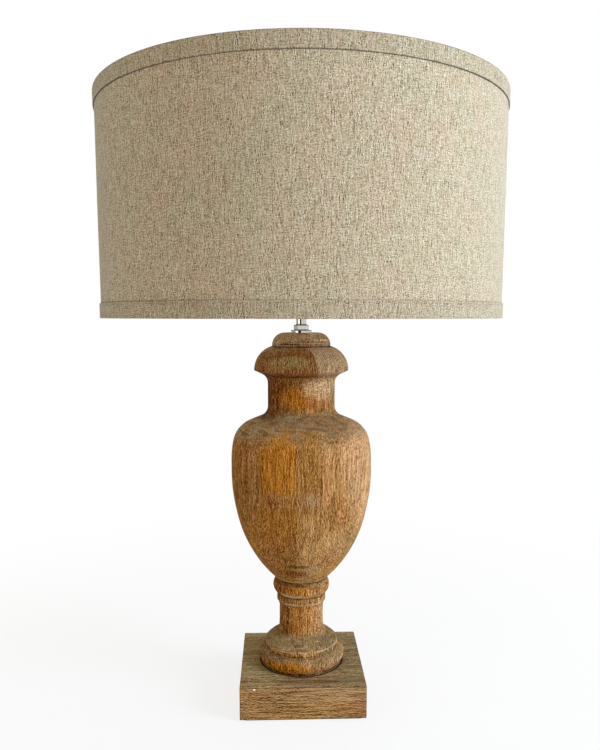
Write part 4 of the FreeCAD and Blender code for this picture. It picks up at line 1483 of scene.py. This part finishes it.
@dataclass
class Plinth:
    """Square block under the column, with its felt and its cord bush. Sizes are in metres."""

    width: float = 0.1414
    bottom: float = 0.0015
    top: float = 0.0395
    edge: float = 0.0011
    edge_steps: tuple[float, ...] = (0.35, 0.7, 1.0, 1.6)
    edge_change: float = 0.5
    edge_scale: float = 60.0
    cell: float = 0.0025
    dent: float = 0.00012
    dent_scale: float = 45.0
    hole: float = 0.006
    hole_height: float = 0.010
    hole_depth: float = 0.016
    hole_around: int = 48
    chip: Point = (-0.0542, -0.0707, 0.0368)
    chip_reach: float = 0.0019
    chip_depth: float = 0.0011
    same: float = 1e-6
    sharp: float = 60.0

    def block(self) -> bpy.types.Object:
        """Planed block with eased edges, small dents, one chip and the cord hole.

        Returns:
            The block.
        """
        half = self.width / 2
        sides = (self.spread(-half, half), self.spread(-half, half),
                 self.spread(self.bottom, self.top))
        found: dict[tuple[int, ...], int] = {}
        vertices: list[Vector] = []
        faces: list[list[int]] = []
        for axis, end in itertools.product(range(3), (0, -1)):
            first, second = (axis + 1) % 3, (axis + 2) % 3
            for i, j in itertools.product(range(len(sides[first]) - 1),
                                          range(len(sides[second]) - 1)):
                loop = []
                for a, b in ((i, j), (i + 1, j), (i + 1, j + 1), (i, j + 1)):
                    spot = [0.0, 0.0, 0.0]
                    spot[axis], spot[first], spot[second] = (sides[axis][end], sides[first][a],
                                                             sides[second][b])
                    key = tuple(round(level / self.same) for level in spot)
                    if key not in found:
                        found[key] = len(vertices)
                        vertices.append(self.worn(Vector(spot)))
                    loop.append(found[key])
                faces.append(loop if end else loop[::-1])
        return self.drilled(mesh_object("plinth_block", vertices, faces, self.sharp))

    def spread(self, low: float, high: float) -> list[float]:
        """Even steps between two sides, with closer ones beside the edges.

        Args:
            low: the lower side.
            high: the upper side.

        Returns:
            The places of the steps, both sides included.
        """
        rim = [0.0, *(self.edge * step for step in self.edge_steps)]
        inside = high - low - 2 * rim[-1]
        count = round(inside / self.cell)
        inner = [low + rim[-1] + inside * step / count for step in range(1, count)]
        return [low + step for step in rim] + inner + [high - step for step in reversed(rim)]

    def worn(self, place: Vector) -> Vector:
        """A point of the sharp block moved onto the eased, dented one.

        Args:
            place: the point on the sharp block.

        Returns:
            The point on the worn block.
        """
        half = self.width / 2
        ease = self.edge * (1.0 + self.edge_change * noise.noise(place * self.edge_scale))
        core = Vector((max(-half + ease, min(half - ease, place.x)),
                       max(-half + ease, min(half - ease, place.y)),
                       max(self.bottom + ease, min(self.top - ease, place.z))))
        away = place - core
        if away.length > self.same:
            place = core + away.normalized() * min(ease, away.length)
        middle = Vector((0, 0, (self.bottom + self.top) / 2))
        inward = (middle - place).normalized()
        depth = self.dent + noise.noise(place * self.dent_scale) * self.dent
        near = (place - Vector(self.chip)).length
        depth += self.chip_depth * max(0.0, 1 - near / self.chip_reach)
        return place + inward * depth

    def drilled(self, block: bpy.types.Object) -> bpy.types.Object:
        """Cut the cord hole through the back of the block.

        Args:
            block: the planed block.

        Returns:
            The same block with its hole.
        """
        cutter = Section(0.0, 0.0).line(self.hole, 0.0).line(self.hole, 2 * self.hole_depth)
        cutter = cutter.line(0.0, 2 * self.hole_depth).spun("cord_drill", self.hole_around)
        cutter.rotation_euler = (math.pi / 2, 0, 0)
        cutter.location = (0, self.width / 2 + self.hole_depth, self.hole_height)
        bpy.context.view_layer.update()
        drill = block.modifiers.new("cord_hole", "BOOLEAN")
        drill.operation = "DIFFERENCE"
        drill.solver = "EXACT"
        drill.object = cutter
        bake_modifiers(block)
        bpy.data.objects.remove(cutter)
        return block

    def wood(self) -> LimedWood:
        """Finish of the block.

        Returns:
            The wood, with the stains, painted shade and painted light of this piece.
        """
        patches = (
            Patch((-0.062, -0.070, 0.026), (0.016, 0.010, 0.006), srgb(146, 98, 56), 0.4),
            Patch((0.062, -0.070, 0.022), (0.014, 0.010, 0.006), srgb(148, 108, 76), 0.4),
            # Partly the lime's own greenish grey, partly painted light lifting the shade that
            # column and drum cast on the top's left
            Patch((-0.045, 0.010, self.top), (0.040, 0.075, 0.006), srgb(158, 142, 102), 0.9),
            Patch((0.056, 0.0, self.top), (0.022, 0.075, 0.004), srgb(130, 114, 84), 0.8),
            # Painted light: lighter on the front's left, away from the light
            Patch((-0.050, -0.0707, 0.020), (0.040, 0.01, 0.03), srgb(176, 142, 98), 0.35),
            Patch(self.chip, (0.0013, 0.004, 0.0010), srgb(244, 240, 230), 1.0))
        # Painted shade: a dark line under the top edge and a shadow line along the block's bottom
        creases = ((self.top - 0.0013, 0.0007, 0.8), (self.bottom + 0.0003, 0.0010, 0.9))
        return LimedWood("limed_plinth", grain=Grain.ACROSS, shift=0.77, contrast=3.4,
                         seam=Seam(low=0.0205, high=0.0205, lip=0.0205),
                         brown=srgb(162, 126, 78), pale=srgb(160, 128, 92),
                         lime=srgb(134, 113, 80), rust=srgb(126, 84, 46), smear=srgb(88, 56, 40),
                         patches=patches, creases=creases, worn=((self.top - 0.0026, 0.0009),),
                         # The dark ring round the column's foot below is painted shadow
                         half=self.width / 2 - 0.0002, foot_shadow=(0.0487, 0.0022))

    def build(self) -> None:
        """Make and dress the block, the felt and the bush."""
        place_piece(self.block(), "root", "wood", self.wood().material(), "plinth")
        dress(FELT, "felt_pad")
        dress(BLACK, "cord_bushing")


def bake_modifiers(piece: bpy.types.Object) -> None:
    """Replace a piece's mesh by the one that its modifiers give.

    Args:
        piece: the object with the modifiers.
    """
    graph = bpy.context.evaluated_depsgraph_get()
    mesh = bpy.data.meshes.new_from_object(piece.evaluated_get(graph))
    old = piece.data
    piece.modifiers.clear()
    piece.data = mesh
    bpy.data.meshes.remove(old)


@dataclass
class DrumShade:
    """Linen drum: cloth, folded bindings, lining, rings and spider. Sizes are in metres.

    Three numbers for an unevenness are its scale sideways, its scale upwards and its depth.
    """

    bottom: float = 0.446
    rise: float = 0.2392
    low_radius: float = 0.225
    high_radius: float = 0.2281
    proud: float = 0.0013
    binding: float = 0.016
    binding_step: float = 0.0018
    binding_gap: float = 0.0001
    binding_sharp: float = 50.0
    hem_round: float = 0.0006
    hem_rise: float = 0.003
    fold: float = 0.0009
    tuck: float = 0.005
    cloth: float = 0.0006
    cloth_step: float = 0.006
    lining: float = 0.0008
    wire: float = 0.0014
    wire_gap: float = 0.0001
    lap: float = 0.012
    lap_rise: float = 0.0005
    lap_edge: float = 0.0012
    slack: tuple[float, float, float] = (3.0, 9.0, 0.00035)
    slack_pull: float = 0.0002
    slack_within: float = 0.3
    pucker: tuple[float, float, float] = (9.0, 30.0, 0.00018)
    stitch: tuple[float, float, float] = (70.0, 150.0, 0.00007)
    stitch_pull: float = 0.00006
    around: int = 420

    def __post_init__(self) -> None:
        """Work out the upper edge."""
        self.top = self.bottom + self.rise

    def wall(self, height: float) -> float:
        """Outside radius of the cloth at a height."""
        share = (height - self.bottom) / self.rise
        return self.low_radius - self.proud + share * (self.high_radius - self.low_radius)

    def uneven(self, height: float, angle: float, kind: tuple[float, float, float]) -> float:
        """One unevenness of the cloth at a place.

        Args:
            height: height above the table.
            angle: angle round the axis from the front.
            kind: its scale sideways, its scale upwards and its depth.

        Returns:
            Metres to add to the radius.
        """
        aside, up, depth = kind
        at = Vector((math.sin(angle) * aside, math.cos(angle) * aside, height * up))
        return noise.noise(at) * depth

    def ripple(self, radius: float, height: float, angle: float) -> float:
        """Slight unevenness of the bonded cloth, and its lap at the back.

        Args:
            radius: distance from the axis.
            height: height above the table.
            angle: angle round the axis from the front.

        Returns:
            Metres to add to the radius.
        """
        slack = self.uneven(height, angle, self.slack) - self.slack_pull
        if radius < self.wall(height) - self.cloth / 2:
            return slack * self.slack_within
        turn = (angle + math.pi) % FULL_TURN - math.pi
        from_back = abs(abs(turn) - math.pi) * radius
        edge = min(1.0, max(0.0, (self.lap / 2 - from_back) / self.lap_edge + 0.5))
        return slack + self.lap_rise * edge * edge * (3 - 2 * edge)

    def gather(self, _radius: float, height: float, angle: float) -> float:
        """Slight puckers of a folded binding, all inwards.

        Args:
            _radius: distance from the axis, which makes no difference here.
            height: height above the table.
            angle: angle round the axis from the front.

        Returns:
            Metres to add to the radius.
        """
        return min(0.0, self.uneven(height, angle, self.pucker)
                   + self.uneven(height, angle, self.stitch) - self.stitch_pull)

    def cloth_piece(self) -> bpy.types.Object:
        """Make the cloth, which also runs under the bindings.

        Returns:
            The cloth.
        """
        low, high = self.bottom + self.fold, self.top - self.fold
        shape = Section(self.wall(low) - self.cloth, low, self.cloth_step)
        shape.line(self.wall(low), low).line(self.wall(high), high)
        shape.line(self.wall(high) - self.cloth, high).line(self.wall(low) - self.cloth, low)
        return shape.spun("drum_linen", self.around, self.ripple)

    def binding_piece(self, name: str, edge: float, inward: int) -> bpy.types.Object:
        """Make the folded strip over one edge of the drum.

        Args:
            name: the piece's name.
            edge: height of the drum's edge.
            inward: 1 where the drum lies above the edge, -1 where it lies below.

        Returns:
            The strip.
        """
        ring_level = edge + inward * (self.fold + self.wire_gap + self.wire)
        ring = self.wall(ring_level) - self.cloth - self.lining - self.wire_gap - self.wire
        pocket = ring - self.wire - self.wire_gap
        inside = pocket - self.fold
        hem = edge + inward * self.binding
        rim = edge + inward * self.fold
        tuck = edge + inward * self.tuck
        outside = self.wall(hem) + self.proud
        shape = Section(self.wall(hem) + self.binding_gap, hem, self.binding_step)
        shape.corner(outside, hem, self.hem_round, (outside, hem - inward * self.hem_rise))
        shape.line(self.wall(rim) + self.proud, rim)
        shape.flow(self.wall(edge) + self.proud - self.fold, edge).line(inside + self.fold, edge)
        shape.flow(inside, rim).line(inside, tuck).line(pocket, tuck).line(pocket, rim)
        shape.line(self.wall(rim) + self.binding_gap, rim)
        shape.line(self.wall(hem) + self.binding_gap, hem)
        return shape.spun(name, self.around, self.gather, self.binding_sharp)

    def build(self) -> None:
        """Make and dress the shade."""
        high_hem = self.top - self.binding
        low_hem = self.bottom + self.binding
        cloth = SlubLinen("drum_linen_weave", self.low_radius,
                          shadow_lines=((high_hem - 0.0002, 0.0010, 1.0),
                                        (low_hem + 0.0004, 0.0008, 0.4)))
        bound = SlubLinen("binding_linen_weave", self.low_radius, shift=0.31, shade=0.9,
                          shadow_lines=((high_hem, 0.0003, 0.5), (self.top, 0.0014, 1.0),
                                        (low_hem - 0.0022, 0.0006, 0.35)))
        linen = place_piece(self.cloth_piece(), "shade", "linen", cloth.material(), "shade_fabric")
        weave = bound.material()
        bindings = [place_piece(self.binding_piece(name, edge, inward), "shade", "linen_binding",
                                weave, node)
                    for name, node, edge, inward in (
                        ("top_binding", "top_trim", self.top, -1),
                        ("bottom_binding", "bottom_trim", self.bottom, 1))]
        dress(LINING, "shade_backing")
        dress(NICKEL, "spider_hub", "spider_arms", "top_ring", "bottom_ring")


@dataclass
class Fittings:
    """Metal stack, lamp holder, harp, switch, bulb and finial. Sizes are in metres."""

    cap_radius: float = 0.0131
    cap_base: float = 0.5072
    cap_rise: float = 0.022
    cap_foot: float = 0.0095
    cap_foot_rise: float = 0.0025
    cap_wall: float = 0.0009
    cap_rim: tuple[float, float] = (0.0004, 0.0015)
    cap_floor: float = 0.003
    cap_step: float = 0.0004
    cap_around: int = 96
    thread_pitch: float = 0.00363
    thread_depth: float = 0.0011
    thread_fade: float = 0.002
    thread_ends: float = 0.003
    thread_skin: float = 0.0002

    def thread(self, radius: float, height: float, angle: float) -> float:
        """Rolled thread of the bulb's cap.

        Args:
            radius: distance from the axis.
            height: height above the table.
            angle: angle round the axis from the front.

        Returns:
            Metres to add to the radius.
        """
        if radius < self.cap_radius - self.thread_skin:
            return 0.0
        low, high = self.cap_base, self.cap_base + self.cap_rise
        share = min(1.0, max(0.0, (height - low - self.thread_ends) / self.thread_fade),
                    max(0.0, (high - self.thread_ends - height) / self.thread_fade))
        turns = (height - low) / self.thread_pitch + angle / FULL_TURN
        return -self.thread_depth * share * (0.5 - 0.5 * math.cos(FULL_TURN * turns))

    def bulb_screw(self) -> bpy.types.Object:
        """Make the screw cap of the bulb, an open cup with a rolled thread.

        Returns:
            The cap.
        """
        low, high = self.cap_base, self.cap_base + self.cap_rise
        inside = self.cap_radius - self.cap_wall
        floor = low + self.cap_floor
        shape = Section(0.0, low, self.cap_step).line(self.cap_foot, low)
        shape.flow(self.cap_radius, low + self.cap_foot_rise).line(self.cap_radius, high)
        shape.line(self.cap_radius - self.cap_rim[0], high).line(inside, high - self.cap_rim[1])
        shape.line(inside - self.thread_depth, floor).line(0.0, floor)
        return shape.spun("bulb_screw", self.cap_around, self.thread)

    def build(self) -> None:
        """Dress the carried-over fittings and add the threaded cap."""
        for finish, *nodes in (
                (ZINC, "threaded_tube", "bottom_washer", "bottom_lock_washer", "bottom_nut",
                 "socket_set_screw"),
                (NICKEL, "top_nut", "check_ring", "neck_tube", "harp_saddle", "harp_frame",
                 "harp_sleeve_left", "harp_sleeve_right", "harp_stud", "socket_cap",
                 "socket_shell", "finial_knob"),
                (BRASS, "terminal_screws", "screw_shell", "centre_contact", "switch_spindle",
                 "finial_insert"),
                (PHENOLIC, "socket_body"), (FIBRE, "socket_insulator"), (BLACK, "switch_knob"),
                (SOLDER, "bulb_contact"), (DARK_GLASS, "bulb_insulator"), (OPAL, "bulb_glass")):
            dress(finish, *nodes)
        place_piece(self.bulb_screw(), "bulb_lift", "bulb_metal", BULB_METAL.material(),
                    "bulb_cap")


@dataclass(frozen=True)
class SoftLight:
    """A square area light.

    Attributes:
        name: its name.
        place: where it stands.
        aim: what it points at.
        size: its side, in metres.
        watts: its power.
        tint: its colour.
    """

    name: str
    place: Point
    aim: Point
    size: float
    watts: float
    tint: Colour

    def hang(self) -> None:
        """Put the light on the stage."""
        light = bpy.data.lights.new(self.name, "AREA")
        light.size = self.size
        light.energy = self.watts
        light.color = self.tint
        holder = bpy.data.objects.new(self.name, light)
        holder.location = self.place
        toward = Vector(self.aim) - Vector(self.place)
        holder.rotation_euler = toward.to_track_quat("-Z", "Y").to_euler()
        bpy.context.scene.collection.objects.link(holder)


@dataclass
class Studio:
    """Pale floor, white surroundings, soft lights and the camera.

    A dark side holds its direction, from which and to which cosine it fades in, and its share.
    """

    camera_place: Point = (-0.0284, -0.8536, 0.4490)
    pitch_down: float = 4.628
    lens: float = 35.30
    sensor: float = 36.0
    shift_x: float = -0.0017
    floor_half: float = 6.0
    floor_paint: Colour = (0.80, 0.80, 0.80)
    floor_near: tuple[float, float] = (0.10, 0.80)
    floor_far: tuple[float, float] = (0.9, 1.0)
    white: Colour = (1.0, 1.0, 1.0)
    ambient: Colour = (1.0, 0.955, 0.79)
    ambient_strength: float = 0.42
    room: Colour = (0.020, 0.018, 0.016)
    dark_sides: tuple[tuple[Point, float, float, float], ...] = (
        ((-0.358, -0.934, 0.0), 0.9537, 0.9636, 1.0), ((-0.94, -0.34, 0.0), 0.40, 0.75, 0.50))
    lights: tuple[SoftLight, ...] = (
        SoftLight("key_light", (2.3, -1.1, 1.3), (0, 0, 0.45), 1.3, 91, (0.70, 0.84, 1.0)),
        SoftLight("fill_light", (-2.0, -1.6, 0.9), (0, 0, 0.4), 1.2, 10.5, (1.0, 0.95, 0.86)),
        SoftLight("top_light", (0.3, 0.2, 2.2), (0, 0, 0.4), 1.4, 12, (1.0, 0.98, 0.95)))

    def floor(self) -> None:
        """Plain floor that keeps the lamp's shadow and melts into the white behind."""
        half = self.floor_half
        corners = [(-half, -half, 0), (half, -half, 0), (half, half, 0), (-half, half, 0)]
        floor = mesh_object("studio_floor", corners, [[0, 1, 2, 3]])
        shader = Shader("studio_floor_paint")
        far = shader.node("ShaderNodeVectorMath", {"operation": "LENGTH"}, [shader.place()],
                          "Value")
        seen, _ = shader.light_rays()
        share = far.ramp(self.floor_near[0], self.floor_far[0],
                         self.floor_near[1], self.floor_far[1]) * seen
        matt = shader.node("ShaderNodeBsdfDiffuse", inputs=[four(self.floor_paint)])
        white = shader.node("ShaderNodeEmission", inputs=[four(self.white), 1.0])
        melted = shader.node("ShaderNodeMixShader", inputs=[share, matt, white])
        floor.data.materials.append(shader.close(melted))

    def surroundings(self) -> None:
        """White behind the lamp, grey light from all round and a darker room in the metal."""
        shader = Shader("studio_surroundings", world=True)
        seen, glossy = shader.light_rays()
        direction = shader.node("ShaderNodeTexCoord", output="Generated")
        dark = 0.0
        for toward, low, high, share in self.dark_sides:
            facing = shader.node("ShaderNodeVectorMath", {"operation": "DOT_PRODUCT"},
                                 [direction, toward], "Value")
            dark = facing.ramp(low, high, 0.0, share).math("MAXIMUM", dark)
        ambient, white, room = (
            shader.node("ShaderNodeBackground", inputs=[four(colour), strength])
            for colour, strength in ((self.ambient, self.ambient_strength), (self.white, 1.0),
                                     (self.room, 1.0)))
        lit = shader.node("ShaderNodeMixShader", inputs=[seen, ambient, white])
        world = shader.close(shader.node("ShaderNodeMixShader", inputs=[dark * glossy, lit, room]))
        bpy.context.scene.world = world

    def camera(self) -> None:
        """Camera at the photograph's viewpoint."""
        lens = bpy.data.cameras.new("viewpoint")
        lens.lens = self.lens
        lens.sensor_width = self.sensor
        lens.shift_x = self.shift_x
        holder = bpy.data.objects.new("viewpoint", lens)
        holder.location = self.camera_place
        yaw = math.atan2(self.camera_place[0], -self.camera_place[1])
        holder.rotation_euler = (math.radians(90 - self.pitch_down), 0, yaw)
        bpy.context.scene.collection.objects.link(holder)
        bpy.context.scene.camera = holder

    def build(self) -> None:
        """Set the stage."""
        self.floor()
        self.surroundings()
        for light in self.lights:
            light.hang()
        self.camera()
        bpy.context.scene.view_settings.view_transform = "Standard"


def main() -> None:
    """Build the lamp's sub-assemblies in order, then the stage."""
    logging.basicConfig(level=logging.INFO, format="%(message)s")
    for part in (Plinth(), Column(), Fittings(), DrumShade(), Studio()):
        part.build()
        LOG.info("%s is done", type(part).__name__)


if __name__ == "__main__":
    main()
